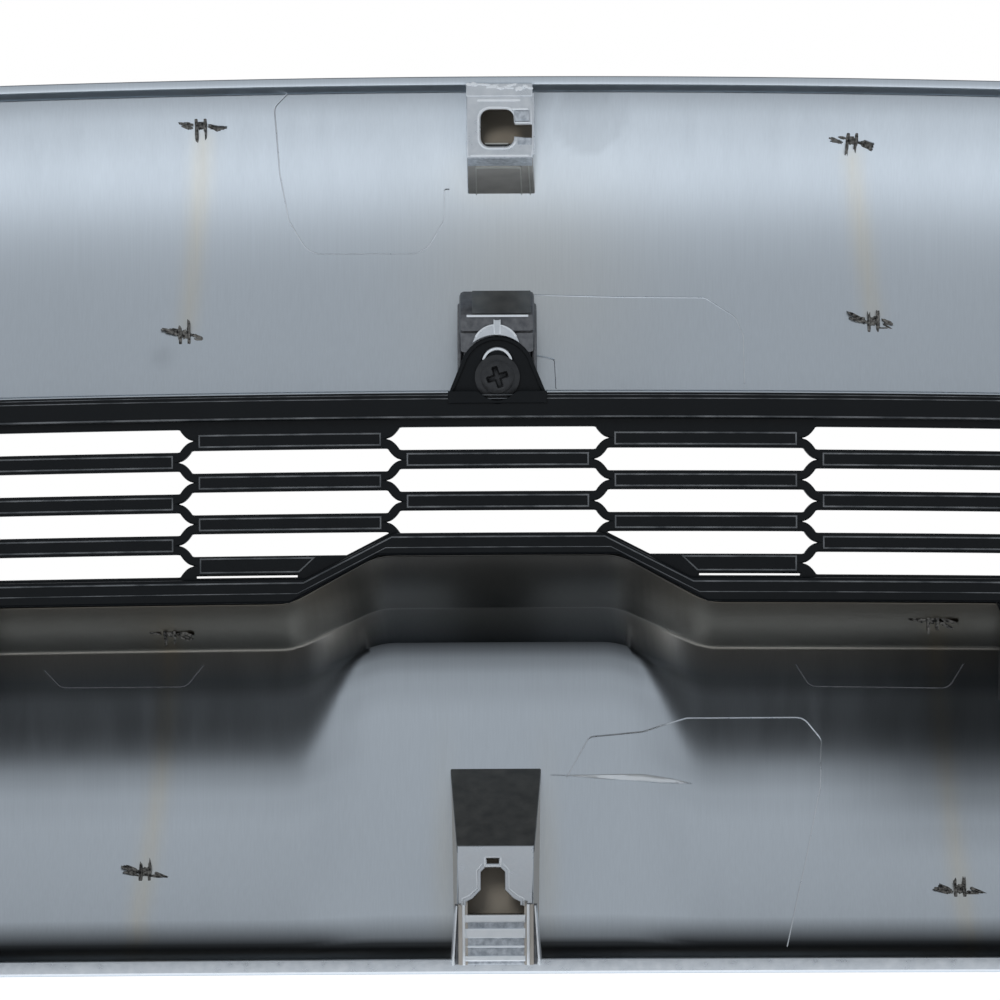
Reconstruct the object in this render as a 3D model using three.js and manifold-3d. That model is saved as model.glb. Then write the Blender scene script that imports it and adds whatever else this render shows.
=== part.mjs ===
// Front grille of a vehicle: two chrome-plated trough panels and two end caps around a black slotted mesh,
// with clip towers and screw towers on the back. Millimetres, +X across the vehicle, +Y forwards, +Z up.
// The back of the grille, which carries the towers and screws, faces -Y.

import * as THREE from 'three';
import { mergeVertices } from 'three/addons/utils/BufferGeometryUtils.js';
import Module from 'manifold-3d';

const wasm = await Module();
wasm.setup();

// ---------------------------------------------------------------- driving dimensions

const GAP = 0.35;                       // between pieces that touch
const HALF_WIDTH = 500;
const HALF_HEIGHT = 111.5;
const BOW_RADIUS = 4000;                // seen from above, the ends sweep back
const CROWN_RADIUS = 3900;              // the top edge falls towards the ends, the bottom edge is straight
const REACH = 60;                       // Y that every cut through the grille passes on both sides
const STATION_STEP = 25.6;              // longest straight stretch along the width of a panel
const MESH_STEP = 51.75;                // the same for the flat mesh

const WALL = 2.6;                       // chrome-plated shells
const PANEL_HALF_WIDTH = 461.7;
const PANEL_PLANE = 10;                 // Y of a trough's back surface beside the rim and the upper lip
const UPPER_DEPTH = 10;                 // how far the upper trough bulges forwards
const LOWER_FOOT = { z: -31, y: 18 };   // where the lower panel's sloped top wall meets its main surface
const LOWER_DEPTH = { side: 12, pad: 9 };
const DEEPEST = { side: 0.5, pad: 0.88 };   // share of the lower trough's height at which it is deepest
const CURVE_STEPS = 8;                  // straight stretches in a trough's curve
const RIM_REAR = -6;                    // Y of the outer rim's rear edge
const RIM_THICKNESS = 2.25;
const LIP_REAR = 0.4;                   // Y of the rear edge of the lip that backs the mesh
const UPPER_LIP = { low: 31, high: 33.6 };
const LOWER_LIP = { low: -19.6, high: -17 };

const PAD = { inner: 30, outer: 52, rise: 12, footRise: 10 };   // badge pad in the middle of the lower panel

const MESH = { rear: -5, plateRear: -3, front: 0, top: 33, bottom: -19, halfWidth: 476 };
const WINDOW = { top: 26.5, bottom: -13, halfWidth: 446, padInner: 26, padOuter: 48, padRise: 11.2 };
const SLOT = { pitchX: 51.75, pitchZ: 10.4, halfLength: 27.75, halfFlat: 24.4, halfHeight: 2.8 };
const SLOT_COLUMNS = 8;                 // columns on each side of the middle one
const EVEN_COLUMN = { top: 21.7, rows: 4, middleRows: 3 };
const ODD_COLUMN = { top: 16.4, rows: 3 };

const TAB = { halfBase: 12.1, arcCentre: 4.6, arcRadius: 9.5, arcFrom: 17 };
const TAB_SCREW = { upper: 4, lower: 8 };   // screw centre beyond the mesh's edge
const TAB_WINDOW = { centre: 9.9, halfWidth: 4, halfHeight: 2 };
const UPPER_TAB_X = [-276, 0, 276];
const LOWER_TAB_X = [-408, -136, 136, 408];
const END_SCREW_X = 468;
const END_SCREW_Z = [20, -7];

const SCREW = { shank: 2, hole: 2.35, washer: 5.6, washerHeight: 1.2, head: 4.1, headHeight: 2.2, tip: 8 };
const SCREWS = [
  ...UPPER_TAB_X.map((x, i) => ({ name: `upper_screw_${i + 1}`, x, z: MESH.top + TAB_SCREW.upper })),
  ...LOWER_TAB_X.map((x, i) => ({ name: `lower_screw_${i + 1}`, x, z: MESH.bottom - TAB_SCREW.lower })),
  ...END_SCREW_Z.map((z, i) => ({ name: `left_end_screw_${i + 1}`, x: -END_SCREW_X, z })),
  ...END_SCREW_Z.map((z, i) => ({ name: `right_end_screw_${i + 1}`, x: END_SCREW_X, z })),
];
const BOSS_HALF_WIDTH = 9.6;
const END_BOSS_RADIUS = 5.5;
const TOWER_ROOT = 36;                  // Y that every tower reaches before it is cut to its panel
const CLIP_TOWER_X = [-360, -180, 0, 180, 360];
const TOWER_REAR = -10;                 // Y of a clip tower's rear face
const TOWER_WALL = 2.4;
const UPPER_TOWER = { halfWidth: 8.6, top: 108.8, faceBottom: 91, foot: 78.7 };
const CLIP_OPENING = { halfWidth: 4.4, low: 94.2, high: 103.2, slotLow: 96.6, slotHigh: 99.4 };
const LOWER_TOWER = { halfWidth: 9.5, footHalfWidth: 11.7, bottom: -108.8, faceTop: -79.5, head: -57.1 };
const KEYHOLE = { neckHalfWidth: 2.9, neckHigh: -82.6, mouthHalfWidth: 7.7, mouthHigh: -92.8, mouthLow: -96.6 };
const BEHIND = -20;                     // Y behind everything, where cuts from the back begin

// ---------------------------------------------------------------- colours

const CHROME = { color: 0xa9b5c0, roughness: 0.3, metalness: 1 };
const BLACK = { color: 0x14171a, roughness: 0.45, metalness: 0 };
const DARK_STEEL = { color: 0x2c2d2f, roughness: 0.5, metalness: 0.8 };

// ---------------------------------------------------------------- helpers

// How far a point at height z falls because the grille is crowned.
function crownDrop(x, z) {
  return (x * x / (2 * CROWN_RADIUS)) * (z + HALF_HEIGHT) / (2 * HALF_HEIGHT);
}

// Bends straight geometry to the grille's plan sweep and crown.
function bend(geometry) {
  const place = geometry.attributes.position;
  for (let i = 0; i < place.count; i += 1) {
    const x = place.getX(i);
    const z = place.getZ(i);
    place.setY(i, place.getY(i) - x * x / (2 * BOW_RADIUS));
    place.setZ(i, z - crownDrop(x, z));
  }
  return geometry;
}

// Closed geometry as a solid that can be joined and cut.
function solid(geometry) {
  geometry.deleteAttribute('normal');
  geometry.deleteAttribute('uv');
  const merged = mergeVertices(geometry);
  return new wasm.Manifold(new wasm.Mesh({
    numProp: 3,
    vertProperties: new Float32Array(merged.attributes.position.array),
    triVerts: new Uint32Array(merged.index.array),
  }));
}

// A solid as a named mesh.
function piece(name, body, look) {
  const mesh = body.getMesh();
  const geometry = new THREE.BufferGeometry();
  geometry.setAttribute('position', new THREE.BufferAttribute(new Float32Array(mesh.vertProperties), 3));
  geometry.setIndex(new THREE.BufferAttribute(new Uint32Array(mesh.triVerts), 1));
  geometry.computeVertexNormals();
  const part = new THREE.Mesh(geometry, new THREE.MeshStandardMaterial(look));
  part.name = name;
  return part;
}

// Points from low to high, no further apart than the station step.
function spread(low, high, step = STATION_STEP) {
  const count = Math.max(1, Math.ceil((high - low) / step - 1e-6));
  return Array.from({ length: count + 1 }, (_, i) => low + (high - low) * i / count);
}

// A closed (y, z) section swept along x through the stations. sectionAt gives it at each x.
function sweepOf(sectionAt, stations) {
  const first = sectionAt(stations[0]);
  const outline = new THREE.Shape(first.map(([y, z]) => new THREE.Vector2(y, z)));
  const steps = stations.length - 1;
  const geometry = new THREE.ExtrudeGeometry(outline, { depth: steps, steps, bevelEnabled: false });
  const sections = stations.map(sectionAt);
  const place = geometry.attributes.position;
  for (let i = 0; i < place.count; i += 1) {
    const station = Math.round(place.getZ(i));
    const corner = first.findIndex(([y, z]) => Math.hypot(y - place.getX(i), z - place.getY(i)) < 1e-4);
    const [y, z] = sections[station][corner];
    place.setXYZ(i, stations[station], y, z);
  }
  return solid(bend(geometry));
}

function sweep(section, stations) {
  return sweepOf(() => section, stations);
}

// A block between two corners.
function block(xs, ys, zs, step = STATION_STEP) {
  const section = [[ys[0], zs[0]], [ys[1], zs[0]], [ys[1], zs[1]], [ys[0], zs[1]]];
  return sweep(section, spread(xs[0], xs[1], step));
}

// An (x, z) outline as a prism through the whole depth of the grille.
function prism(points, step = MESH_STEP) {
  const outline = [];
  points.forEach(([x, z], i) => {
    const [nextX, nextZ] = points[(i + 1) % points.length];
    const count = Math.max(1, Math.ceil(Math.abs(nextX - x) / step - 1e-6));
    for (let k = 0; k < count; k += 1) {
      const t = k / count;
      outline.push(new THREE.Vector2(x + (nextX - x) * t, z + (nextZ - z) * t));
    }
  });
  const geometry = new THREE.ExtrudeGeometry(new THREE.Shape(outline), {
    depth: 2 * REACH, steps: 1, bevelEnabled: false,
  });
  geometry.rotateX(Math.PI / 2);
  geometry.translate(0, REACH, 0);
  return solid(bend(geometry));
}

// A round bar along y.
function bar(x, z, radius, rear, front, sides = 16) {
  const geometry = new THREE.CylinderGeometry(radius, radius, front - rear, sides);
  geometry.translate(x, (rear + front) / 2, z);
  return solid(bend(geometry));
}

// ---------------------------------------------------------------- chrome panels and end caps

const rimInside = HALF_HEIGHT - RIM_THICKNESS;
const { clamp, lerp, smoothstep } = THREE.MathUtils;

// Points of a curve y(t) between two heights, as (y, z) from low to high.
function curve(low, high, depthAt) {
  return Array.from({ length: CURVE_STEPS + 1 }, (_, i) => {
    const t = i / CURVE_STEPS;
    return [depthAt(t), lerp(low, high, t)];
  });
}

// The upper trough's surface; offset moves it along y.
function upperTrough(low, high, offset) {
  return curve(low, high, (t) => PANEL_PLANE + offset + UPPER_DEPTH * Math.sin(Math.PI * t));
}

// 1 on the badge pad and 0 beyond it.
function padShare(x) {
  return clamp((PAD.outer - Math.abs(x)) / (PAD.outer - PAD.inner), 0, 1);
}

// The lower trough's surface at x. On the badge pad its deepest line lies higher up.
function lowerTrough(x, low, footGap, offset) {
  const share = smoothstep(padShare(x), 0, 1);
  const deepest = lerp(DEEPEST.side, DEEPEST.pad, share);
  const depth = lerp(LOWER_DEPTH.side, LOWER_DEPTH.pad, share);
  const high = LOWER_FOOT.z + PAD.footRise * padShare(x) + footGap;
  return curve(low, high, (t) => {
    const quarter = t < deepest ? Math.sin(Math.PI / 2 * t / deepest)
      : Math.cos(Math.PI / 2 * (t - deepest) / (1 - deepest));
    return lerp(PANEL_PLANE, LOWER_FOOT.y, t) + offset + depth * quarter;
  });
}

const panelStations = [
  ...spread(-PANEL_HALF_WIDTH, -PAD.outer),
  ...spread(-PAD.inner, PAD.inner, PAD.inner),
  ...spread(PAD.outer, PANEL_HALF_WIDTH),
];

function upperPanel() {
  const section = [
    [LIP_REAR, UPPER_LIP.low],
    [LIP_REAR, UPPER_LIP.high],
    ...upperTrough(UPPER_LIP.high, rimInside, 0),
    [RIM_REAR, rimInside],
    [RIM_REAR, HALF_HEIGHT],
    ...upperTrough(UPPER_LIP.low, HALF_HEIGHT, WALL).reverse(),
  ];
  return piece('upper_panel', sweep(section, panelStations), CHROME);
}

function lowerPanel() {
  const sectionAt = (x) => [
    [LIP_REAR, LOWER_LIP.high + PAD.rise * padShare(x)],
    [LIP_REAR, LOWER_LIP.low + PAD.rise * padShare(x)],
    ...lowerTrough(x, -rimInside, 0, 0).reverse(),
    [RIM_REAR, -rimInside],
    [RIM_REAR, -HALF_HEIGHT],
    ...lowerTrough(x, -HALF_HEIGHT, WALL, WALL),
  ];
  return piece('lower_panel', sweepOf(sectionAt, panelStations), CHROME);
}

// Everything in front of the troughs' back surfaces, which the towers are cut to.
function spaceBeyondPanels() {
  const upper = [
    [REACH, UPPER_LIP.high], ...upperTrough(UPPER_LIP.high, rimInside, -GAP), [REACH, rimInside],
  ];
  const lowerAt = (x) => [
    [REACH, -rimInside],
    ...lowerTrough(x, -rimInside, 0, -2 * GAP),
    [LIP_REAR - 2 * GAP, LOWER_LIP.low + PAD.rise * padShare(x)],
    [REACH, LOWER_LIP.low + PAD.rise * padShare(x)],
  ];
  return sweep(upper, panelStations).add(sweepOf(lowerAt, panelStations));
}

// The end cap's section follows both panels and bridges them behind the mesh's end.
function endCap(name, side) {
  const inner = PANEL_HALF_WIDTH + GAP;
  const span = (from, to) => [from * side, to * side].sort((a, b) => a - b);
  const frontFace = [
    ...lowerTrough(inner, -HALF_HEIGHT, WALL, WALL), ...upperTrough(UPPER_LIP.low, HALF_HEIGHT, WALL),
  ];
  const shellSection = [
    ...frontFace,
    [RIM_REAR, HALF_HEIGHT],
    [RIM_REAR, rimInside],
    ...upperTrough(UPPER_LIP.high, rimInside, 0).reverse(),
    ...lowerTrough(inner, -rimInside, 0, 0).reverse(),
    [RIM_REAR, -rimInside],
    [RIM_REAR, -HALF_HEIGHT],
  ];
  const wallSection = [...frontFace, [RIM_REAR, HALF_HEIGHT], [RIM_REAR, -HALF_HEIGHT]];
  let cap = sweep(shellSection, span(inner, HALF_WIDTH));
  cap = cap.add(sweep(wallSection, span(HALF_WIDTH - WALL, HALF_WIDTH)));
  END_SCREW_Z.forEach((z) => {
    const x = END_SCREW_X * side;
    const bridge = lerp(LOWER_FOOT.y, PANEL_PLANE, (z - LOWER_FOOT.z) / (UPPER_LIP.high - LOWER_FOOT.z));
    cap = cap.add(bar(x, z, END_BOSS_RADIUS, LIP_REAR, bridge + 1));
    cap = cap.subtract(bar(x, z, SCREW.hole, -1, SCREW.tip + 0.6));
  });
  return piece(name, cap, CHROME);
}

// ---------------------------------------------------------------- black mesh insert

// Rounded tab standing out from the mesh's edge, from its left foot to its right foot.
function tabOutline(x, edge, up) {
  const arc = Array.from({ length: 7 }, (_, i) => {
    const angle = THREE.MathUtils.degToRad(180 - TAB.arcFrom - (180 - 2 * TAB.arcFrom) * i / 6);
    return [x + TAB.arcRadius * Math.cos(angle), edge + up * (TAB.arcCentre + TAB.arcRadius * Math.sin(angle))];
  });
  return [[x - TAB.halfBase, edge], ...arc, [x + TAB.halfBase, edge]];
}

// The stepped lower edge of the mesh or of its window, from left to right.
function steppedEdge(bottom, rise, inner, outer) {
  return [[-outer, bottom], [-inner, bottom + rise], [inner, bottom + rise], [outer, bottom]];
}

function meshOutline() {
  const top = UPPER_TAB_X.flatMap((x) => tabOutline(x, MESH.top, 1));
  const leftTabs = LOWER_TAB_X.filter((x) => x < 0).flatMap((x) => tabOutline(x, MESH.bottom, -1));
  const rightTabs = LOWER_TAB_X.filter((x) => x > 0).flatMap((x) => tabOutline(x, MESH.bottom, -1));
  return [
    [MESH.halfWidth, MESH.bottom],
    [MESH.halfWidth, MESH.top],
    ...top.reverse(),
    [-MESH.halfWidth, MESH.top],
    [-MESH.halfWidth, MESH.bottom],
    ...leftTabs,
    ...steppedEdge(MESH.bottom, PAD.rise - 0.25, PAD.inner, PAD.outer),
    ...rightTabs,
  ];
}

function windowOutline() {
  return [
    [WINDOW.halfWidth, WINDOW.top],
    [-WINDOW.halfWidth, WINDOW.top],
    [-WINDOW.halfWidth, WINDOW.bottom],
    ...steppedEdge(WINDOW.bottom, WINDOW.padRise, WINDOW.padInner, WINDOW.padOuter),
    [WINDOW.halfWidth, WINDOW.bottom],
  ];
}

// A long slot with ogee points at both ends.
function slotOutline(x, z) {
  const quarter = [[SLOT.halfFlat, SLOT.halfHeight], [SLOT.halfFlat + 1.5, SLOT.halfHeight * 0.4]];
  const tip = [SLOT.halfLength, 0];
  const mirrored = quarter.map(([px, pz]) => [px, -pz]).reverse();
  const right = [...quarter, tip, ...mirrored];
  const left = right.map(([px, pz]) => [-px, -pz]);
  return [...right, ...left].map(([px, pz]) => [x + px, z + pz]);
}

function slots() {
  const cutters = [];
  for (let column = -SLOT_COLUMNS; column <= SLOT_COLUMNS; column += 1) {
    const even = column % 2 === 0;
    const layout = even ? EVEN_COLUMN : ODD_COLUMN;
    const rows = column === 0 ? EVEN_COLUMN.middleRows : layout.rows;
    for (let row = 0; row < rows; row += 1) {
      cutters.push(prism(slotOutline(column * SLOT.pitchX, layout.top - row * SLOT.pitchZ)));
    }
  }
  return wasm.Manifold.union(cutters);
}

function meshInsert() {
  const outline = prism(meshOutline());
  const window = prism(windowOutline());
  const across = [-MESH.halfWidth - 1, MESH.halfWidth + 1];
  const plate = block(across, [MESH.plateRear, MESH.front], [-HALF_HEIGHT, HALF_HEIGHT], MESH_STEP);
  const band = block(across, [MESH.rear, MESH.front], [MESH.bottom - 1, MESH.top], MESH_STEP);
  let mesh = plate.intersect(outline).add(band.intersect(outline).subtract(window));
  mesh = mesh.subtract(slots().intersect(window));
  UPPER_TAB_X.forEach((x) => {
    const { centre, halfWidth, halfHeight } = TAB_WINDOW;
    const hole = Array.from({ length: 8 }, (_, i) => {
      const angle = (i + 0.5) * Math.PI / 4;
      return [x + halfWidth * Math.cos(angle), MESH.top + centre + halfHeight * Math.sin(angle)];
    });
    mesh = mesh.subtract(prism(hole));
  });
  // The band is cut away under each screw's washer, which sits on the thinner plate.
  SCREWS.forEach(({ x, z }) => {
    mesh = mesh.subtract(bar(x, z, SCREW.washer + GAP, BEHIND, MESH.plateRear));
    mesh = mesh.subtract(bar(x, z, SCREW.hole, BEHIND, SCREW.tip));
  });
  return piece('mesh_insert', mesh, BLACK);
}

// ---------------------------------------------------------------- towers on the panels' backs

// Screw tower: a block under the mesh's tab, with a higher sloped shoulder beyond the tab.
function screwTower(name, x, up, beyond) {
  const lip = up > 0 ? UPPER_LIP.high : LOWER_LIP.low;
  const at = (y, height) => [y, lip + up * height];
  const section = [
    at(TOWER_ROOT, 0.6), at(LIP_REAR, 0.6), at(LIP_REAR, 14.4), at(-3.5, 14.4),
    at(-3.5, 19), at(4, 25), at(TOWER_ROOT, 26),
  ];
  const screwHeight = up > 0 ? MESH.top + TAB_SCREW.upper : MESH.bottom - TAB_SCREW.lower;
  const across = [x - BOSS_HALF_WIDTH, x + BOSS_HALF_WIDTH];
  const tower = sweep(section, across)
    .subtract(bar(x, screwHeight, SCREW.hole, BEHIND, SCREW.tip + 0.6))
    .subtract(beyond);
  return piece(name, tower, CHROME);
}

// Upper clip tower: a hollow block, open to +X, whose rear wall has a C-shaped opening for a clip.
function upperClipTower(name, x, beyond) {
  const { halfWidth, top, faceBottom, foot } = UPPER_TOWER;
  const opening = CLIP_OPENING;
  const section = [[TOWER_REAR, top], [TOWER_REAR, faceBottom], [TOWER_ROOT, foot], [TOWER_ROOT, top]];
  const frontOfWall = TOWER_REAR + TOWER_WALL;
  const insideTop = top - TOWER_WALL;
  const insideBottom = faceBottom + TOWER_WALL;
  const right = x + halfWidth;
  const insideX = [x - halfWidth + TOWER_WALL, right + 1];
  const tower = sweep(section, [x - halfWidth, right])
    .subtract(block(insideX, [frontOfWall, TOWER_ROOT + 1], [insideBottom, insideTop]))
    .subtract(block([x - opening.halfWidth, x + opening.halfWidth], [BEHIND, 0], [opening.low, opening.high]))
    .subtract(block([x, right + 1], [BEHIND, 0], [opening.slotLow, opening.slotHigh]))
    .subtract(beyond);
  return piece(name, tower, CHROME);
}

// Lower clip tower: a hollow block with a sloped top, whose rear wall has a keyhole for a clip.
function lowerClipTower(name, x, beyond) {
  const { halfWidth, footHalfWidth, bottom, faceTop, head } = LOWER_TOWER;
  const section = [[TOWER_REAR, bottom], [TOWER_REAR, faceTop], [TOWER_ROOT, head], [TOWER_ROOT, bottom]];
  const flanks = prism([
    [x - footHalfWidth, bottom], [x + footHalfWidth, bottom],
    [x + footHalfWidth, bottom + 8], [x + halfWidth, faceTop - 12], [x + halfWidth, head],
    [x - halfWidth, head], [x - halfWidth, faceTop - 12], [x - footHalfWidth, bottom + 8],
  ]);
  const mouth = [x - KEYHOLE.mouthHalfWidth, x + KEYHOLE.mouthHalfWidth];
  const neck = [x - KEYHOLE.neckHalfWidth, x + KEYHOLE.neckHalfWidth];
  const tower = sweep(section, [x - footHalfWidth, x + footHalfWidth])
    .intersect(flanks)
    .subtract(block(mouth, [TOWER_REAR + TOWER_WALL, TOWER_ROOT + 1], [bottom + TOWER_WALL, faceTop - 3.6]))
    .subtract(block(neck, [BEHIND, 0], [KEYHOLE.mouthHigh - 0.5, KEYHOLE.neckHigh]))
    .subtract(block(mouth, [BEHIND, 0], [KEYHOLE.mouthLow, KEYHOLE.mouthHigh]))
    .subtract(beyond);
  return piece(name, tower, CHROME);
}

// ---------------------------------------------------------------- screws

// Washer-head screw driven forwards through the mesh. The head's face points to -Y.
function screw({ name, x, z }) {
  const seat = MESH.plateRear - GAP;
  const profile = [
    [0, seat - SCREW.washerHeight - SCREW.headHeight],
    [SCREW.head * 0.8, seat - SCREW.washerHeight - SCREW.headHeight],
    [SCREW.head, seat - SCREW.washerHeight - SCREW.headHeight * 0.5],
    [SCREW.head, seat - SCREW.washerHeight],
    [SCREW.washer, seat - SCREW.washerHeight],
    [SCREW.washer, seat],
    [SCREW.shank, seat],
    [SCREW.shank, SCREW.tip - 2],
    [0, SCREW.tip],
  ];
  const geometry = new THREE.LatheGeometry(profile.map(([r, y]) => new THREE.Vector2(r, y)), 14);
  geometry.translate(x, 0, z);
  return piece(name, solid(bend(geometry)), DARK_STEEL);
}

// ---------------------------------------------------------------- assembly

const grille = new THREE.Group();
const beyondPanels = spaceBeyondPanels();

grille.add(upperPanel(), lowerPanel(), endCap('left_end_cap', -1), endCap('right_end_cap', 1), meshInsert());

CLIP_TOWER_X.forEach((x, i) => {
  grille.add(upperClipTower(`upper_clip_tower_${i + 1}`, x, beyondPanels));
  grille.add(lowerClipTower(`lower_clip_tower_${i + 1}`, x, beyondPanels));
});

UPPER_TAB_X.forEach((x, i) => {
  grille.add(screwTower(`upper_screw_tower_${i + 1}`, x, 1, beyondPanels));
});
LOWER_TAB_X.forEach((x, i) => {
  grille.add(screwTower(`lower_screw_tower_${i + 1}`, x, -1, beyondPanels));
});
SCREWS.forEach((place) => grille.add(screw(place)));

// The origin is the middle of the grille's overall box.
const middle = new THREE.Box3().setFromObject(grille).getCenter(new THREE.Vector3());
grille.position.copy(middle.negate());

export default grille;
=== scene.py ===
import math
import random

import bmesh
import bpy
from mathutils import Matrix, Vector, noise


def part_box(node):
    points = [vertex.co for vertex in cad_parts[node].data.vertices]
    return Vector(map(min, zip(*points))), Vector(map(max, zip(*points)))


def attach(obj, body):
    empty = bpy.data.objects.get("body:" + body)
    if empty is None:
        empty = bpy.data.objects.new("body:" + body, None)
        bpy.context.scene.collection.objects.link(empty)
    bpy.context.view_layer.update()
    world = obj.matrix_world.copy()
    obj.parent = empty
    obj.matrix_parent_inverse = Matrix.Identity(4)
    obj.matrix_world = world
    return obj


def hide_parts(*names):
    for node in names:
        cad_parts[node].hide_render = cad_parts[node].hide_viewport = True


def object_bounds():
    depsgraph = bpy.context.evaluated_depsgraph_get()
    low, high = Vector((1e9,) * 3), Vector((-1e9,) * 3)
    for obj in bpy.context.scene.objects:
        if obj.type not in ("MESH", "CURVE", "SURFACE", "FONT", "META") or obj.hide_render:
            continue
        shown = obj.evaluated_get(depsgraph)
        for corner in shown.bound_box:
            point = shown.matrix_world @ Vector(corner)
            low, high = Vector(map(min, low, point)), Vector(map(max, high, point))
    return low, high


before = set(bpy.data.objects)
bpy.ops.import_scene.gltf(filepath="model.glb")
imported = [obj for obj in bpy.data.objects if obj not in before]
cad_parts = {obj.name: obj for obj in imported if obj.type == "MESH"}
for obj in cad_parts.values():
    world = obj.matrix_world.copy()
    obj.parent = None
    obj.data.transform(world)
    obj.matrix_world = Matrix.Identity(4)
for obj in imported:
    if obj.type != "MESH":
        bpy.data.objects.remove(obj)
cad_low, cad_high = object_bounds()

# ------------------------------------------------------------------ sizes, in millimetres before bending

MM = 0.001
HALF_HEIGHT = cad_high.z / MM
BOW_RADIUS = 4000.0        # plan sweep: the ends lie further back than the middle
CROWN_RADIUS = 3900.0      # the top edge falls towards the ends
TOWER_REAR = -10.0         # rear face of a clip tower before the frame's shift along y
SHIFT_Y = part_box("upper_clip_tower_3")[0].y / MM - TOWER_REAR

SHELL = 2.25               # thickness of the plated shells
PANEL_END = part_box("upper_panel")[1].x / MM
OBJECT_END = cad_high.x / MM
RIM_REAR = -6.0
RIM_INSIDE = HALF_HEIGHT - SHELL
LIP_REAR = 0.4
PANEL_PLANE = 10.0
UPPER_LIP = 33.6
UPPER_DEPTH = 10.0
LOWER_LIP = -19.6
LOWER_FOOT = -31.0         # height and depth at which the lower panel's sloped wall meets its main surface
LOWER_FOOT_Y = 18.0
LOWER_DEPTH, PAD_DEPTH = 12.0, 9.0
PAD_INNER, PAD_OUTER, PAD_RISE = 30.0, 52.0, 12.0
PAD_FOOT_RISE = 10.0

MESH_TOP, MESH_BOTTOM, MESH_END = 33.0, -19.0, 476.0
SLOT_PITCH_X, SLOT_PITCH_Z = 51.75, 10.4
SLOT_HALF_LENGTH, SLOT_HALF_FLAT, SLOT_HALF_HEIGHT = 27.75, 24.4, 2.8
SLOT_COLUMNS = 8
EVEN_TOP, ODD_TOP = 21.7, 16.4

UPPER_TAB_X = [-276.0, 0.0, 276.0]
LOWER_TAB_X = [-408.0, -136.0, 136.0, 408.0]
CLIP_TOWER_X = [-360.0, -180.0, 0.0, 180.0, 360.0]
END_SCREW_X, END_SCREW_Z = 468.0, [20.0, -7.0]
UPPER_SCREW, LOWER_SCREW = 3.8, 8.0       # screw centre beyond the mesh's edge
SCREW_HOLE, WASHER = 2.35, 5.6            # radii
TAB_HALF_BASE, TAB_RADIUS = 12.1, 9.5
TAB_CENTRE = 4.6           # centre of a tab's arc beyond the mesh's edge
TAB_ARC_END = 17.0         # angle in degrees between a tab's arc and its straight flank
COLLAR_HEIGHT = 43.9       # centre of the round collar behind an upper tab

dice = random.Random(7)


def smooth_step(value, low, high):
    t = min(1.0, max(0.0, (value - low) / (high - low)))
    return t * t * (3 - 2 * t)


def mix(a, b, t):
    return a + (b - a) * t


# ------------------------------------------------------------------ shape helpers

def place(x, y, z):
    """A point of the straight grille, in millimetres, in the bent grille's frame, in metres."""
    drop = x * x / (2 * CROWN_RADIUS) * (z + HALF_HEIGHT) / (2 * HALF_HEIGHT)
    return Vector((x, y - x * x / (2 * BOW_RADIUS) + SHIFT_Y, z - drop)) * MM


def rounded(corners, segments=6):
    """A polyline through (y, z, radius) corners, with an arc at each corner that has a radius."""
    points = []
    for i, (y, z, radius) in enumerate(corners):
        here = Vector((y, z))
        if radius == 0 or i in (0, len(corners) - 1):
            points.append(here)
            continue
        before = (Vector(corners[i - 1][:2]) - here).normalized()
        after = (Vector(corners[i + 1][:2]) - here).normalized()
        angle = before.angle(after)
        reach = radius / math.tan(angle / 2)
        centre = here + (before + after).normalized() * (radius / math.sin(angle / 2))
        start = (here + before * reach - centre)
        end = (here + after * reach - centre)
        turn = start.angle_signed(end)
        for k in range(segments + 1):
            a = -turn * k / segments
            points.append(centre + Vector((
                start.x * math.cos(a) - start.y * math.sin(a), start.x * math.sin(a) + start.y * math.cos(a),
            )))
    return points


def link(name, mesh, materials, replaced=(), smooth_angle=35):
    """Puts a mesh in the scene as a piece of the object."""
    for material in materials:
        mesh.materials.append(material)
    piece = bpy.data.objects.new(name, mesh)
    bpy.context.scene.collection.objects.link(piece)
    mesh.shade_smooth()
    mesh.set_sharp_from_angle(angle=math.radians(smooth_angle))
    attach(piece, "root")
    if replaced:
        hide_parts(*replaced)
    return piece


def grid_mesh(name, columns):
    """A sheet through columns of points, each column a list of the same length."""
    rows = len(columns[0])
    vertices = [point for column in columns for point in column]
    faces = []
    for i in range(len(columns) - 1):
        for j in range(rows - 1):
            a = i * rows + j
            faces.append((a, a + rows, a + rows + 1, a + 1))
    mesh = bpy.data.meshes.new(name)
    mesh.from_pydata(vertices, [], faces)
    return mesh


SLICE = 13.0               # longest stretch of a plate along x, so that it can follow the bend


def slice_across(mesh, low, high):
    """Cuts a wide flat mesh at even steps along its first axis."""
    count = math.ceil((high - low) / SLICE)
    if count < 3:
        return
    work = bmesh.new()
    work.from_mesh(mesh)
    for k in range(1, count):
        parts = work.verts[:] + work.edges[:] + work.faces[:]
        cut = (mix(low, high, k / count), 0, 0)
        bmesh.ops.bisect_plane(work, geom=parts, plane_co=cut, plane_no=(1, 0, 0))
    work.to_mesh(mesh)
    work.free()


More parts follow.
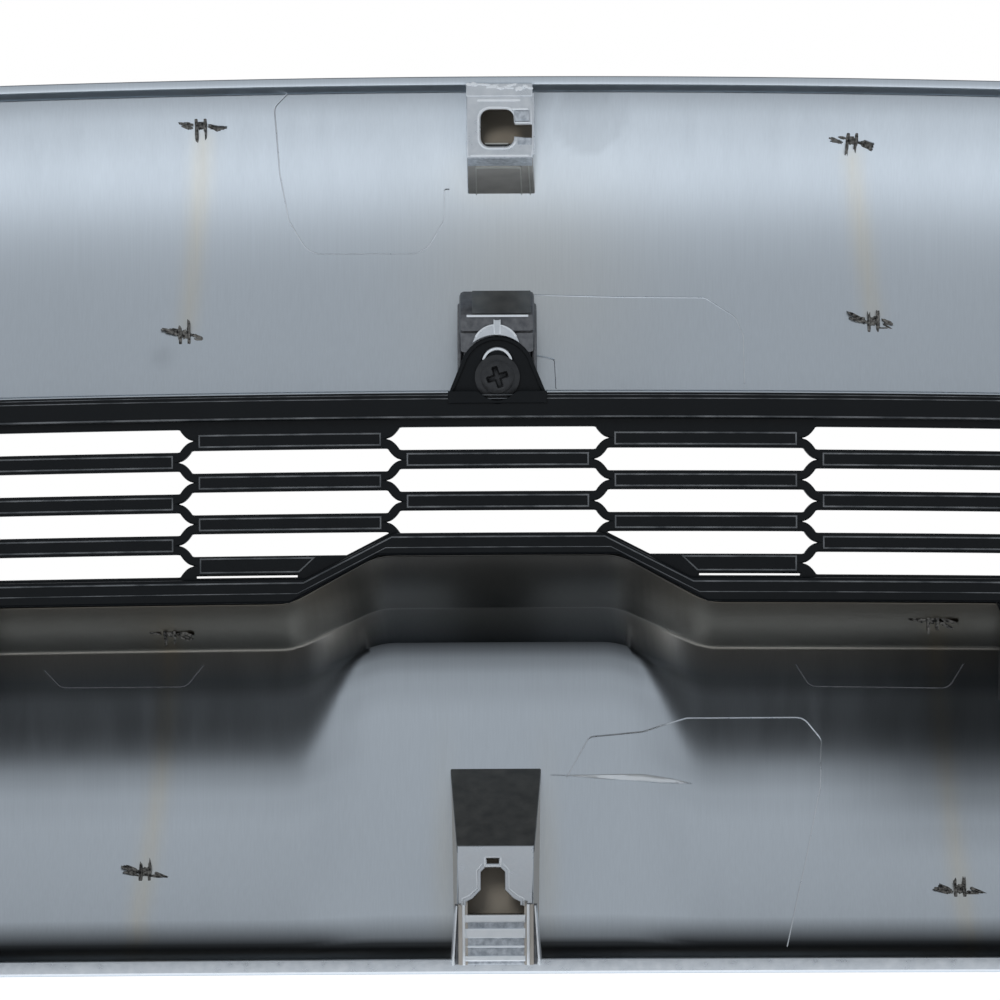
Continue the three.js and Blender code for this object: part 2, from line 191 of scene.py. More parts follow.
def cut_out(outline, holes, rear, front, bevel, along="y"):
    """A flat plate with rounded edges, from 2D loops. along says which axis the plate is thick in."""
    curve = bpy.data.curves.new("plate", "CURVE")
    curve.dimensions = "2D"
    curve.fill_mode = "BOTH"
    curve.extrude = (front - rear) / 2 - bevel
    curve.bevel_depth = bevel
    curve.bevel_resolution = 1
    curve.offset = -bevel
    for loop, wanted in [(outline, 1)] + [(hole, -1) for hole in holes]:
        area = sum(
            a[0] * b[1] - b[0] * a[1] for a, b in zip(loop, loop[1:] + loop[:1])
        )
        ordered = loop if area * wanted > 0 else loop[::-1]
        spline = curve.splines.new("POLY")
        spline.points.add(len(ordered) - 1)
        for target, (u, v) in zip(spline.points, ordered):
            target.co = (u, v, 0, 1)
        spline.use_cyclic_u = True
    holder = bpy.data.objects.new("plate", curve)
    bpy.context.scene.collection.objects.link(holder)
    bpy.context.view_layer.update()
    mesh = bpy.data.meshes.new_from_object(holder.evaluated_get(bpy.context.evaluated_depsgraph_get()))
    bpy.data.objects.remove(holder)
    if along == "y":
        slice_across(mesh, min(u for u, _v in outline), max(u for u, _v in outline))
    middle = (rear + front) / 2
    points = []
    for vertex in mesh.vertices:
        u, v, w = vertex.co
        points.append((u, middle - w, v) if along == "y" else (middle + w, u, v))
    faces = [tuple(polygon.vertices) for polygon in mesh.polygons]
    bpy.data.meshes.remove(mesh)
    return points, faces


def merged(parts):
    """Several (points, faces) pairs as one."""
    points, faces = [], []
    for part_points, part_faces in parts:
        start = len(points)
        points.extend(part_points)
        faces.extend(tuple(i + start for i in face) for face in part_faces)
    return points, faces


def bent_mesh(name, parts):
    points, faces = merged(parts)
    mesh = bpy.data.meshes.new(name)
    mesh.from_pydata([place(*point) for point in points], [], faces)
    mesh.validate()
    return mesh


def subdivided(loop, step):
    """The loop with its long edges cut into stretches no longer than step."""
    points = []
    for (ax, az), (bx, bz) in zip(loop, loop[1:] + loop[:1]):
        count = max(1, math.ceil(math.hypot(bx - ax, bz - az) / step))
        points.extend((mix(ax, bx, k / count), mix(az, bz, k / count)) for k in range(count))
    return points


def arc(cx, cz, radius, start, end, segments):
    """Points on a circle between two angles in degrees."""
    return [
        (
            cx + radius * math.cos(math.radians(mix(start, end, k / segments))),
            cz + radius * math.sin(math.radians(mix(start, end, k / segments))),
        )
        for k in range(segments + 1)
    ]


def circle(cx, cz, radius):
    return arc(cx, cz, radius, 0, 345, 23)


# ------------------------------------------------------------------ materials

def new_material(name):
    material = bpy.data.materials.new(name)
    material.use_nodes = True
    nodes = material.node_tree.nodes
    return material, nodes, material.node_tree.links, nodes["Principled BSDF"]


def stretched_noise(nodes, links, scale, detail, stretch):
    """Noise in object space, stretched by a factor along each axis."""
    place_node = nodes.new("ShaderNodeTexCoord")
    mapping = nodes.new("ShaderNodeMapping")
    mapping.inputs["Scale"].default_value = stretch
    texture = nodes.new("ShaderNodeTexNoise")
    texture.inputs["Scale"].default_value = scale
    texture.inputs["Detail"].default_value = detail
    links.new(place_node.outputs["Object"], mapping.inputs["Vector"])
    links.new(mapping.outputs["Vector"], texture.inputs["Vector"])
    return texture


def ranged(nodes, links, source, low, high):
    """Maps a 0..1 output to a range."""
    node = nodes.new("ShaderNodeMapRange")
    node.inputs["From Min"].default_value = 0.3
    node.inputs["From Max"].default_value = 0.7
    node.inputs["To Min"].default_value = low
    node.inputs["To Max"].default_value = high
    links.new(source, node.inputs["Value"])
    return node.outputs["Result"]


def add_bump(nodes, links, shader, source, strength, distance):
    bump = nodes.new("ShaderNodeBump")
    bump.inputs["Strength"].default_value = strength
    bump.inputs["Distance"].default_value = distance
    links.new(source, bump.inputs["Height"])
    links.new(bump.outputs["Normal"], shader.inputs["Normal"])


def plated_back():
    """Satin plating with fine upright striations. The tint attribute carries stains and flow marks, painted
    shade in the lower panel's recesses and on the rims' inner faces, and painted highlight on the rims' rear
    faces and beside the badge pad.
    """
    material, nodes, links, shader = new_material("plated_back")
    shader.inputs["Metallic"].default_value = 1.0
    fine = stretched_noise(nodes, links, 1, 6, (2600, 900, 45))
    broad = stretched_noise(nodes, links, 1, 3, (260, 120, 18))
    tint = nodes.new("ShaderNodeAttribute")
    tint.attribute_name = "tint"
    shade = nodes.new("ShaderNodeMix")
    shade.data_type = "RGBA"
    shade.blend_type = "MULTIPLY"
    shade.inputs["Factor"].default_value = 1.0
    grain = nodes.new("ShaderNodeCombineColor")
    value = ranged(nodes, links, fine.outputs["Fac"], 0.975, 1.02)
    for channel in ("Red", "Green", "Blue"):
        links.new(value, grain.inputs[channel])
    links.new(tint.outputs["Color"], shade.inputs["A"])
    links.new(grain.outputs["Color"], shade.inputs["B"])
    links.new(shade.outputs["Result"], shader.inputs["Base Color"])
    links.new(ranged(nodes, links, broad.outputs["Fac"], 0.28, 0.31), shader.inputs["Roughness"])
    speck = stretched_noise(nodes, links, 700, 4, (1, 1, 1))
    add_bump(nodes, links, shader, speck.outputs["Fac"], 0.02, 0.0001)
    return material


def coloured(nodes, links, shader, texture, colours, stops):
    """Base colour that runs from one colour to another between two levels of a texture."""
    ramp = nodes.new("ShaderNodeValToRGB")
    for element, level, colour in zip(ramp.color_ramp.elements, stops, colours):
        element.position = level
        element.color = (*colour, 1)
    links.new(texture.outputs["Fac"], ramp.inputs["Fac"])
    links.new(ramp.outputs["Color"], shader.inputs["Base Color"])


def surfaced(nodes, links, shader, texture, roughness, bump):
    """Roughness between two values, and a bump of a strength and depth, both from one texture."""
    links.new(ranged(nodes, links, texture.outputs["Fac"], *roughness), shader.inputs["Roughness"])
    add_bump(nodes, links, shader, texture.outputs["Fac"], *bump)


def mottled(name, metallic, scale, detail, colours, stops, roughness, bump):
    """A material whose colour, roughness and bump all follow one noise."""
    material, nodes, links, shader = new_material(name)
    shader.inputs["Metallic"].default_value = metallic
    mottle = stretched_noise(nodes, links, scale, detail, (1, 1, 1))
    coloured(nodes, links, shader, mottle, colours, stops)
    surfaced(nodes, links, shader, mottle, roughness, bump)
    return material


def plated_front():
    """Bright mirror plating with a trace of orange peel."""
    colours = [(0.80, 0.83, 0.86), (0.88, 0.90, 0.92)]
    return mottled("plated_front", 1.0, 90, 3, colours, (0, 1), (0.05, 0.09), (0.05, 0.0005))


def plated_tower():
    """Plating on the small towers: brighter, a little mottled."""
    colours = [(0.78, 0.82, 0.86), (0.90, 0.93, 0.96)]
    return mottled("plated_tower", 1.0, 420, 5, colours, (0.3, 0.7), (0.26, 0.36), (0.15, 0.0002))


def toned_plating(name, dark, light, scale):
    """Duller plating with a tone of its own, for recesses, steps and raised edges. Its dark tones are painted
    shade and its brightest a painted highlight.
    """
    return mottled(name, 0.85, scale, 4, [dark, light], (0.3, 0.7), (0.34, 0.46), (0.12, 0.0002))


def dark_lining():
    """A dark warm-grey plate inside the clip towers: its colour is painted shade of their hollow inside."""
    colours = [(0.115, 0.098, 0.075), (0.165, 0.148, 0.122)]
    return mottled("lining_painted_shade", 0.0, 60, 3, colours, (0.35, 0.7), (0.5, 0.7), (0.1, 0.0002))


def black_painted_highlight():
    """The same black plastic, lighter where its fine ribs catch the light: painted highlight."""
    colours = [(0.022, 0.026, 0.030), (0.085, 0.092, 0.10)]
    return mottled("black_painted_highlight", 0.0, 160, 4, colours, (0.35, 0.65), (0.28, 0.40), (0.1, 0.0001))


def black_plastic():
    """Satin black moulded plastic with a fine grain."""
    material, nodes, links, shader = new_material("black_plastic")
    shader.inputs["Specular IOR Level"].default_value = 0.22
    grain = stretched_noise(nodes, links, 900, 4, (1, 1, 1))
    cloud = stretched_noise(nodes, links, 40, 3, (1, 1, 1))
    coloured(nodes, links, shader, cloud, [(0.0015, 0.0022, 0.003), (0.003, 0.004, 0.005)], (0, 1))
    surfaced(nodes, links, shader, grain, (0.34, 0.46), (0.2, 0.0001))
    return material


def dark_steel():
    """Black phosphate on steel, dull and slightly mottled."""
    colours = [(0.018, 0.019, 0.021), (0.055, 0.058, 0.062)]
    return mottled("dark_steel", 0.6, 600, 4, colours, (0, 1), (0.38, 0.55), (0.3, 0.0001))


def gate_scar_material():
    """Rough, dark metal of a broken-off gate."""
    colours = [(0.01, 0.01, 0.01), (0.30, 0.29, 0.27)]
    return mottled("gate_scar", 0.8, 1500, 4, colours, (0.35, 0.7), (0.3, 0.6), (0.6, 0.0003))


BACK = plated_back()
FRONT = plated_front()
TOWER = plated_tower()
BLACK = black_plastic()
STEEL = dark_steel()
SCAR = gate_scar_material()
EDGE = black_painted_highlight()
# Tones for parts of the towers: the dark ones on roofs, shoulders, undersides, gutters, steps and the screw
# towers' bodies are painted shade; the brightest, on raised frames, ledges and beads, is a painted highlight.
ROOF = toned_plating("dark_painted_shade", (0.14, 0.148, 0.150), (0.20, 0.205, 0.200), 300)
UNDERSIDE = toned_plating("underside_painted_shade", (0.37, 0.35, 0.325), (0.50, 0.48, 0.45), 200)
FLANK = toned_plating("flank_beige", (0.52, 0.48, 0.43), (0.64, 0.60, 0.55), 90)
GREY = toned_plating("grey_painted_shade", (0.115, 0.12, 0.13), (0.20, 0.205, 0.215), 700)
MOTTLED_SHADE = toned_plating("mottled_painted_shade", (0.36, 0.40, 0.45), (0.66, 0.70, 0.75), 900)
SEAM = toned_plating("rib_plating", (0.50, 0.50, 0.47), (0.62, 0.62, 0.58), 300)
LINING = dark_lining()
HIGHLIGHT = toned_plating("painted_highlight", (0.86, 0.91, 0.95), (0.93, 0.96, 0.99), 400)

# ------------------------------------------------------------------ panels

def upper_back(z):
    """Depth of the upper panel's back surface at a height."""
    t = (z - UPPER_LIP) / (RIM_INSIDE - UPPER_LIP)
    return PANEL_PLANE + UPPER_DEPTH * math.sin(math.pi * min(1.0, max(0.0, t)))


def lower_depth(x, z):
    """Depth of the lower panel's back surface, on its main surface or on the sloped wall above it."""
    foot = lower_foot(x)
    if z < foot:
        return lower_back(x, z)
    lip = LOWER_LIP + PAD_RISE * pad_share(x)
    return mix(LOWER_FOOT_Y, LIP_REAR, (z - foot) / (lip - foot))


def pad_share(x):
    """1 in the middle of the lower panel, where the badge pad is, and 0 beyond it, with soft corners."""
    t = (PAD_OUTER - abs(x)) / (PAD_OUTER - PAD_INNER)
    soft = 0.16
    if t < -soft or t > 1 + soft:
        return min(1.0, max(0.0, t))
    if t < soft:
        return (t + soft) ** 2 / (4 * soft)
    if t > 1 - soft:
        return 1 - (1 + soft - t) ** 2 / (4 * soft)
    return t


def lower_foot(x):
    return LOWER_FOOT + PAD_FOOT_RISE * pad_share(x)


def lower_back(x, z):
    """Depth of the lower panel's back surface. On the pad its deepest line lies higher."""
    t = (z + RIM_INSIDE) / (lower_foot(x) + RIM_INSIDE)
    t = min(1.0, max(0.0, t))
    share = smooth_step(pad_share(x), 0, 1)
    deepest = mix(0.5, 0.88, share)
    if t < deepest:
        bulge = math.sin(math.pi / 2 * t / deepest)
    else:
        beyond = (t - deepest) / (1 - deepest)
        bulge = mix(math.cos(math.pi / 2 * beyond), 1 - beyond ** 3, share)
    return mix(PANEL_PLANE, LOWER_FOOT_Y, t) + mix(LOWER_DEPTH, PAD_DEPTH, share) * bulge


CURVE_POINTS = 44


def upper_section(_x):
    heights = [mix(UPPER_LIP, RIM_INSIDE, (k + 0.5) / CURVE_POINTS) for k in range(3, CURVE_POINTS - 3)]
    corners = [(LIP_REAR, UPPER_LIP, 0), (upper_back(UPPER_LIP), UPPER_LIP, 0.6)]
    corners += [(upper_back(z), z, 0) for z in heights]
    corners += [(upper_back(RIM_INSIDE), RIM_INSIDE, 0.8), (RIM_REAR, RIM_INSIDE, 0)]
    return rounded(corners)


def lower_section(x):
    foot = lower_foot(x)
    heights = [mix(foot, -RIM_INSIDE, (k + 0.5) / CURVE_POINTS) for k in range(4, CURVE_POINTS - 5)]
    share = pad_share(x)
    corners = [(LIP_REAR, LOWER_LIP + PAD_RISE * share, 0), (LOWER_FOOT_Y, foot, mix(3.0, 6.0, share))]
    corners += [(lower_back(x, z), z, 0) for z in heights]
    corners += [(PANEL_PLANE, -RIM_INSIDE, 7.5), (RIM_REAR, -RIM_INSIDE, 0)]
    return rounded(corners)


def panel_stations(end):
    """Places along the width: close together in the middle, wider apart beyond it."""
    inner = 140
    middle = [float(k) for k in range(-inner, inner + 1, 2)]
    count = 40
    outer = [mix(inner, end, k / count) for k in range(1, count + 1)]
    return [-x for x in reversed(outer)] + middle + outer


PLATE_COLOUR = Vector((0.755, 0.815, 0.87))


def streak(x, z, start, end, width):
    """Strength of a flow mark between two points."""
    a, b, p = Vector(start), Vector(end), Vector((x, z))
    along = b - a
    t = min(1.0, max(0.0, (p - a).dot(along) / along.length_squared))
    wobble = 1.2 * noise.noise(Vector((z * 0.05, x * 0.01, 3.0)))
    across = (p - a - along * t).length + wobble * 0.5
    return math.exp(-(across / width) ** 2)


# Gates where the panels were filled, as (x, z) on the back, and the flow marks that run between them.
UPPER_GATES = [(-74.4, 101.4), (-79.0, 48.9), (89.7, 97.2), (95.1, 51.5)]
LOWER_GATES = [(-82.8, -26.5), (-90.0, -87.9), (108.8, -23.7), (116.4, -93.0)]
FLOW_MARKS = [
    ((-74.0, 98.2), (-78.3, 51.2)),
    ((90.0, 93.4), (95.1, 54.0)),
    ((-82.8, -29.1), (-86.1, -62.3)),
    ((-86.1, -62.3), (-92.5, -105.8)),
    ((110.1, -27.6), (118.2, -107.1)),
]


def spot(x, z, cx, cz, rx, rz):
    """1 at the middle of an oval patch, falling softly to 0 beyond it."""
    return math.exp(-((x - cx) / rx) ** 2 - ((z - cz) / rz) ** 2)


def profile(stops, distance):
    """A smooth value between (distance, value) stops."""
    if distance <= stops[0][0]:
        return stops[0][1]
    for (low, first), (high, second) in zip(stops, stops[1:]):
        if distance <= high:
            return mix(first, second, smooth_step(distance, low, high))
    return stops[-1][1]


# Share of the plating's brightness left at a distance below the foot of the lower panel's sloped wall,
# where little light falls: beside the badge pad, and on it. FAR_SHADE darkens the stretch beyond the pad
# towards +x, and RIM_SHADE runs up from the bottom rim.
SIDE_SHADE = [(0, 0.62), (3, 0.78), (8.5, 0.46), (14, 0.80), (21, 0.70), (33, 0.74), (39, 0.90), (46, 1.0)]
PAD_SHADE = [(0, 0.26), (3.7, 0.22), (6.7, 0.05), (9.7, 0.10), (12.7, 0.48), (18.7, 0.84), (28, 1.0)]
RIM_SHADE = [(0, 0.30), (0.7, 0.30), (2.2, 0.08), (3.9, 0.08), (6.0, 0.47), (8.4, 1.0)]
FAR_SHADE = [(5, 0.5), (31, 0.42), (37, 0.55), (46, 0.82), (56, 1.0)]
WALL_SHADE, PAD_WALL_SHADE = 0.33, 0.16


def recess_shade(x, z):
    """How much of the plating's brightness is left under the lower lip and over the bottom rim: painted
    shade.
    """
    share = smooth_step(pad_share(x), 0, 1)
    below = lower_foot(x) - z
    if below < 0:
        return mix(WALL_SHADE, PAD_WALL_SHADE, share)
    top = mix(profile(SIDE_SHADE, below), profile(PAD_SHADE, below), share)
    top *= mix(1.0, profile(FAR_SHADE, below), smooth_step(x, 72, 120))
    return top * profile(RIM_SHADE, z + RIM_INSIDE)


# Patches on the upper panel, as centre x, centre z and half widths, and a faint disc with its radius.
WARM_PATCHES = [(8, 62, 28, 26), (0, 86, 13, 9)]
DARK_PATCH = (-84.5, 43.5, 2.6, 2.6)
DISC_X, DISC_Z, DISC_RADIUS = 23.5, 102.5, 8.7


def tint_at(x, y, z, upper):
    """Colour of the plating at a place on the back of a panel, with painted shade and painted highlight in
    it.
    """
    warm, brown, shade = 0.0, 0.0, 1.0
    for start, end in FLOW_MARKS:
        warm = max(warm, 0.95 * streak(x, z, start, end, 2.6))
    if upper:
        warm = max(warm, *(0.5 * spot(x, z, *patch) for patch in WARM_PATCHES))
        reach = math.hypot(x - DISC_X, z - DISC_Z)
        shade -= 0.10 * (1 - smooth_step(reach, DISC_RADIUS - 0.5, DISC_RADIUS + 0.5))
        shade -= 0.14 * spot(x, z, *DARK_PATCH)
    else:
        warm = max(warm, 0.5 * spot(abs(x + 1), z, 13, -84, 3, 22))
        shade = recess_shade(x, z)
        brown = smooth_step(z, lower_foot(x) - 4, lower_foot(x) + 1) * (1 - 0.4 * pad_share(x))
        # Brighter patches on the sloped wall beside the badge pad's corners: painted highlight.
        shade *= 1 + 1.5 * spot(abs(x), z, 43, -22.5, 6, 4.5) + 0.9 * spot(abs(x), z, 31.5, -14, 3, 8)
    # The rim's rear face is painted lighter and its inner face darker: painted highlight and painted shade.
    if y < RIM_REAR + 1.5:
        shade = 1.12
    elif y < PANEL_PLANE - 3 and abs(z) > RIM_INSIDE - 1:
        shade *= 0.8
    cloud = noise.noise(Vector((x * 0.02, z * 0.03, 9.0)))
    colour = [c * mix(1.0, w, warm) for c, w in zip(PLATE_COLOUR, (1.08, 1.0, 0.885))]
    colour = [c * mix(1.0, w, brown) for c, w in zip(colour, (1.12, 0.94, 0.74))]
    return Vector(colour) * (shade * (1 + 0.03 * cloud))


def paint(mesh, sources, upper):
    """Writes the tint of a panel's sheet. sources are its points as straight (x, y, z)."""
    layer = mesh.color_attributes.new("tint", "FLOAT_COLOR", "POINT")
    for value, (x, y, z) in zip(layer.data, sources):
        value.color = (*tint_at(x, y, z, upper), 1)


def finish_shell(piece):
    """Gives a sheet its thickness, mirror front and rounded edges."""
    thickness = piece.modifiers.new("shell", "SOLIDIFY")
    thickness.thickness = SHELL * MM
    thickness.offset = -1
    thickness.material_offset = 1
    thickness.material_offset_rim = 0
    edge = piece.modifiers.new("edge", "BEVEL")
    edge.width = 0.35 * MM
    edge.segments = 2
    edge.limit_method = "ANGLE"
    edge.angle_limit = math.radians(60)


def sheet_mesh(name, stations, section, upper):
    """A panel's back surface as a painted sheet."""
    straight = [[(x, y, z) for y, z in section(x)] for x in stations]
    mesh = grid_mesh(name, [[place(*point) for point in column] for column in straight])
    paint(mesh, [point for column in straight for point in column], upper)
    return mesh


def make_panel(node, section, upper):
    mesh = sheet_mesh(node, panel_stations(PANEL_END), section, upper)
    if not upper:
        mesh.flip_normals()
    finish_shell(link(f"{node}_shell", mesh, [BACK, FRONT], [node]))


def cap_section():
    """Both troughs in one section, with a bridge behind the mesh's end between them."""
    beyond_pad = PAD_OUTER + 1
    lip_points = 9
    upper = [tuple(p) for p in upper_section(beyond_pad)][lip_points:]
    lower = [tuple(p) for p in lower_section(beyond_pad)][lip_points:]
    steps = 6
    bridge = [
        (mix(LOWER_FOOT_Y, PANEL_PLANE, k / steps), mix(LOWER_FOOT, UPPER_LIP, k / steps))
        for k in range(1, steps)
    ]
    return lower[::-1] + bridge + upper


def make_end_cap(node, side):
    """The cap follows both panels and turns back in a wall at the object's end."""
    start = PANEL_END + 0.35
    end = OBJECT_END - SHELL
    radius = 5.0
    section = cap_section()
    columns = []
    for k in range(13):
        x = mix(start, end - radius, k / 12)
        columns.append([(x, y, z) for y, z in section])
    for k in range(1, 7):
        angle = math.radians(15 * k)
        x = end - radius + radius * math.sin(angle)
        back = radius * (1 - math.cos(angle))
        columns.append([(x, max(RIM_REAR, y - back), z) for y, z in section])
    for k in range(1, 5):
        columns.append([(end, mix(max(RIM_REAR, y - radius), RIM_REAR, k / 4), z) for y, z in section])
    columns = [[(side * x, y, z) for x, y, z in column] for column in columns]
    mesh = grid_mesh(node, [[place(*point) for point in column] for column in columns])
    paint(mesh, [point for column in columns for point in column], True)
    if side < 0:
        mesh.flip_normals()
    finish_shell(link(f"{node}_shell", mesh, [BACK, FRONT], [node]))


def make_end_bosses(side):
    """The two round bosses in an end cap that take the mesh's screws."""
    parts = []
    for z in END_SCREW_Z:
        ring = circle(side * END_SCREW_X, z, 5.5)
        hole = circle(side * END_SCREW_X, z, 2.3)
        parts.append(cut_out(ring, [hole], LIP_REAR, 13.5, 0.4))
    name = "end_bosses_left" if side < 0 else "end_bosses_right"
    link(name, bent_mesh("bosses", parts), [TOWER])


def make_rim_bead():
    """The bottom rim's thickened rear edge."""
    end = PANEL_END - 1
    heights = (-HALF_HEIGHT + 0.25, -107.75)
    bead_part = box_part((-end, end), (RIM_REAR - 0.15, RIM_REAR + 2.0), heights, 0.5)
    link("bottom_rim_bead", bent_mesh("bottom_rim_bead", [bead_part]), [TOWER])


# ------------------------------------------------------------------ fine marks on the panels' backs

def dense(points, step=1.5):
    """An open polyline with extra points on its long stretches."""
    result = [points[0]]
    for (ax, az), (bx, bz) in zip(points, points[1:]):
        count = max(1, math.ceil(math.hypot(bx - ax, bz - az) / step))
        result += [(mix(ax, bx, k / count), mix(az, bz, k / count)) for k in range(1, count + 1)]
    return result


def bead(points, upper, width, height, swelling=False):
    """A low rounded bead along a polyline on a panel's back. A swelling bead tapers towards both ends."""
    path = dense(points)
    vertices, faces = [], []
    crown = [(-0.5, -0.1), (-0.35, 0.7), (0.0, 1.0), (0.35, 0.7), (0.5, -0.1)]
    for i, (x, z) in enumerate(path):
        before, after = path[max(0, i - 1)], path[min(len(path) - 1, i + 1)]
        along = Vector((after[0] - before[0], after[1] - before[1])).normalized()
        full = width * (0.1 + 0.9 * math.sin(math.pi * (i / (len(path) - 1)) ** 1.6) if swelling else 1)
        for across, up in crown:
            px = x - along.y * across * full
            pz = z + along.x * across * full
            surface = upper_back(pz) if upper else lower_back(px, pz)
            vertices.append((px, surface - up * height, pz))
    rows = len(crown)
    for i in range(len(path) - 1):
        for j in range(rows - 1):
            a = i * rows + j
            faces.append((a, a + 1, a + rows + 1, a + rows))
    return vertices, faces


def corner_path(corners, segments=6):
    """An open path through (x, z, radius) corners."""
    return [tuple(point) for point in rounded(corners, segments)]


UPPER_WITNESS = [
    [(-51.7, 109.8, 0), (-55.8, 105.8, 2), (-54.8, 89.5, 0), (-52.7, 77.8, 0), (-47.7, 69.1, 6),
     (-18.3, 68.9, 6), (-13.2, 77.5, 3), (-13.2, 85.1, 0.5), (-11.9, 85.1, 0)],
    [(8.6, 58.2, 0), (30.4, 57.6, 0), (52.7, 57.5, 3), (60.3, 52.5, 4), (62.2, 47.9, 2), (62.2, 35.7, 0)],
    [(8.9, 57.2, 0), (9.3, 42.8, 1), (14.5, 41.7, 1), (14.8, 34.4, 0)],
]
LOWER_WITNESS = [
    [(17.1, -64.3, 0), (22.9, -54.1, 2), (36.7, -52.9, 2), (47.7, -49.5, 2), (77.4, -49.3, 4),
     (82.0, -54.9, 3), (81.8, -67.2, 2), (78.0, -84.6, 2), (72.1, -107.1, 0)],
]
HOOD_WITNESS = [
    [(-115.2, -35.7, 0), (-111.1, -40.4, 3), (-79.5, -40.6, 3), (-74.9, -35.0, 0)],
    [(75.2, -35.5, 0), (79.0, -41.3, 3), (114.1, -41.6, 3), (117.7, -35.2, 0)],
]


def make_witness_lines(name, lines, upper, material):
    parts = [bead(corner_path(line), upper, 0.4, 0.2) for line in lines]
    mesh = bent_mesh(name, parts)
    mesh.flip_normals()
    link(name, mesh, [material])


def make_lens(name, path):
    """A bright, swelling bead under the badge pad; its brightness is a painted highlight."""
    mesh = bent_mesh(name, [bead(path, False, 2.0, 0.5, True)])
    mesh.flip_normals()
    link(name, mesh, [HIGHLIGHT])


def ragged_plate(x, z, width, height, tilt, rear, front):
    """A small plate with an uneven outline, turned by a number of degrees."""
    outline = []
    turn = math.radians(tilt)
    for angle in range(0, 360, 20):
        a = math.radians(angle)
        ragged = 1 + dice.uniform(-0.25, 0.25)
        u = abs(math.cos(a)) ** 0.6 * math.copysign(width / 2, math.cos(a)) * ragged
        v = abs(math.sin(a)) ** 0.8 * math.copysign(height / 2, math.sin(a)) * ragged
        across = u * math.cos(turn) - v * math.sin(turn)
        upward = u * math.sin(turn) + v * math.cos(turn)
        outline.append((x + across, z + upward))
    return cut_out(outline, [], rear, front, 0.14)


def scar(x, z, upper):
    """A broken-off gate: two short uprights with thin slanting wings at both sides."""
    depth = upper_back(z) if upper else lower_depth(x, z)
    lean = dice.uniform(-8, 8)
    slant = -dice.uniform(10, 20)
    parts = []
    for side in (-1, 1):
        parts.append(ragged_plate(x + side * 1.1, z + side * 0.4, 0.9, 6.2, lean, depth - 0.8, depth + 0.6))
        for _ in range(4):
            length = dice.uniform(2.0, 4.6)
            middle = x + side * (1.2 + length / 2 + dice.uniform(0, 1.4))
            height = z - side * dice.uniform(-0.2, 1.7)
            tilt = slant + dice.uniform(-16, 16)
            thickness = dice.uniform(0.5, 1.0)
            parts.append(ragged_plate(middle, height, length, thickness, tilt, depth - 0.5, depth + 1.0))
    parts.append(ragged_plate(x, z + 0.3, 1.6, 2.4, lean, depth - 0.5, depth + 0.6))
    return merged(parts)


def make_scars(name, gates, upper):
    link(name, bent_mesh(name, [scar(x, z, upper) for x, z in gates]), [SCAR])


# ------------------------------------------------------------------ black mesh insert

def tab_outline(x, edge, up, inset=0.0):
    """A bell-shaped tab from its left foot to its right foot."""
    foot = TAB_HALF_BASE - 1.1 * inset
    level = edge + up * inset * 0.3
    bow = arc(0, TAB_CENTRE, TAB_RADIUS - inset, 180 - TAB_ARC_END, TAB_ARC_END, 16)
    return [(x - foot, level)] + [(x + u, edge + up * v) for u, v in bow] + [(x + foot, level)]


def stepped_edge(bottom, rise, inner, outer):
    return [(-outer, bottom), (-inner, bottom + rise), (inner, bottom + rise), (outer, bottom)]


def mesh_outline():
    top = [point for x in UPPER_TAB_X for point in tab_outline(x, MESH_TOP, 1)]
    left = [point for x in LOWER_TAB_X if x < 0 for point in tab_outline(x, MESH_BOTTOM, -1)]
    right = [point for x in LOWER_TAB_X if x > 0 for point in tab_outline(x, MESH_BOTTOM, -1)]
    return [
        (MESH_END, MESH_BOTTOM), (MESH_END, MESH_TOP), *top[::-1],
        (-MESH_END, MESH_TOP), (-MESH_END, MESH_BOTTOM),
        *left, *stepped_edge(MESH_BOTTOM, PAD_RISE - 0.25, PAD_INNER, PAD_OUTER), *right,
    ]


def window_outline(inset=0.0):
    outer, inner = 48.0, 26.0
    return [
        (446 - inset, 26.5 - inset), (-446 + inset, 26.5 - inset), (-446 + inset, -13 + inset),
        *stepped_edge(-13 + inset, 11.2, inner, outer), (446 - inset, -13 + inset),
    ]


def slot_outline(x, z):
    """A long slot with ogee points at both ends."""
    quarter = [(SLOT_HALF_FLAT - 0.5, SLOT_HALF_HEIGHT), (SLOT_HALF_FLAT, SLOT_HALF_HEIGHT * 0.96)]
    for k in range(1, 8):
        t = k / 8
        height = SLOT_HALF_HEIGHT * 0.92 * (1 - t) ** 2 + 0.1
        quarter.append((mix(SLOT_HALF_FLAT, SLOT_HALF_LENGTH, t), height))
    right = quarter + [(SLOT_HALF_LENGTH, 0)] + [(px, -pz) for px, pz in reversed(quarter)]
    left = [(-px, -pz) for px, pz in right]
    return subdivided([(x + px, z + pz) for px, pz in right + left], 8)


def slot_rows(column):
    """Heights of the slots in a column."""
    if column == 0:
        return [EVEN_TOP - k * SLOT_PITCH_Z for k in range(3)]
    if column % 2 == 0:
        return [EVEN_TOP - k * SLOT_PITCH_Z for k in range(4)]
    return [ODD_TOP - k * SLOT_PITCH_Z for k in range(3)]


def kept_above(outline, start, end):
    """The part of a loop that lies above the line through two points."""
    (sx, sz), (ex, ez) = start, end

    def height(point):
        return point[1] - (sz + (ez - sz) * (point[0] - sx) / (ex - sx))

    kept = []
    for here, after in zip(outline, outline[1:] + outline[:1]):
        a, b = height(here), height(after)
        if a > 0:
            kept.append(here)
        if a * b < 0:
            t = a / (a - b)
            kept.append((mix(here[0], after[0], t), mix(here[1], after[1], t)))
    return kept


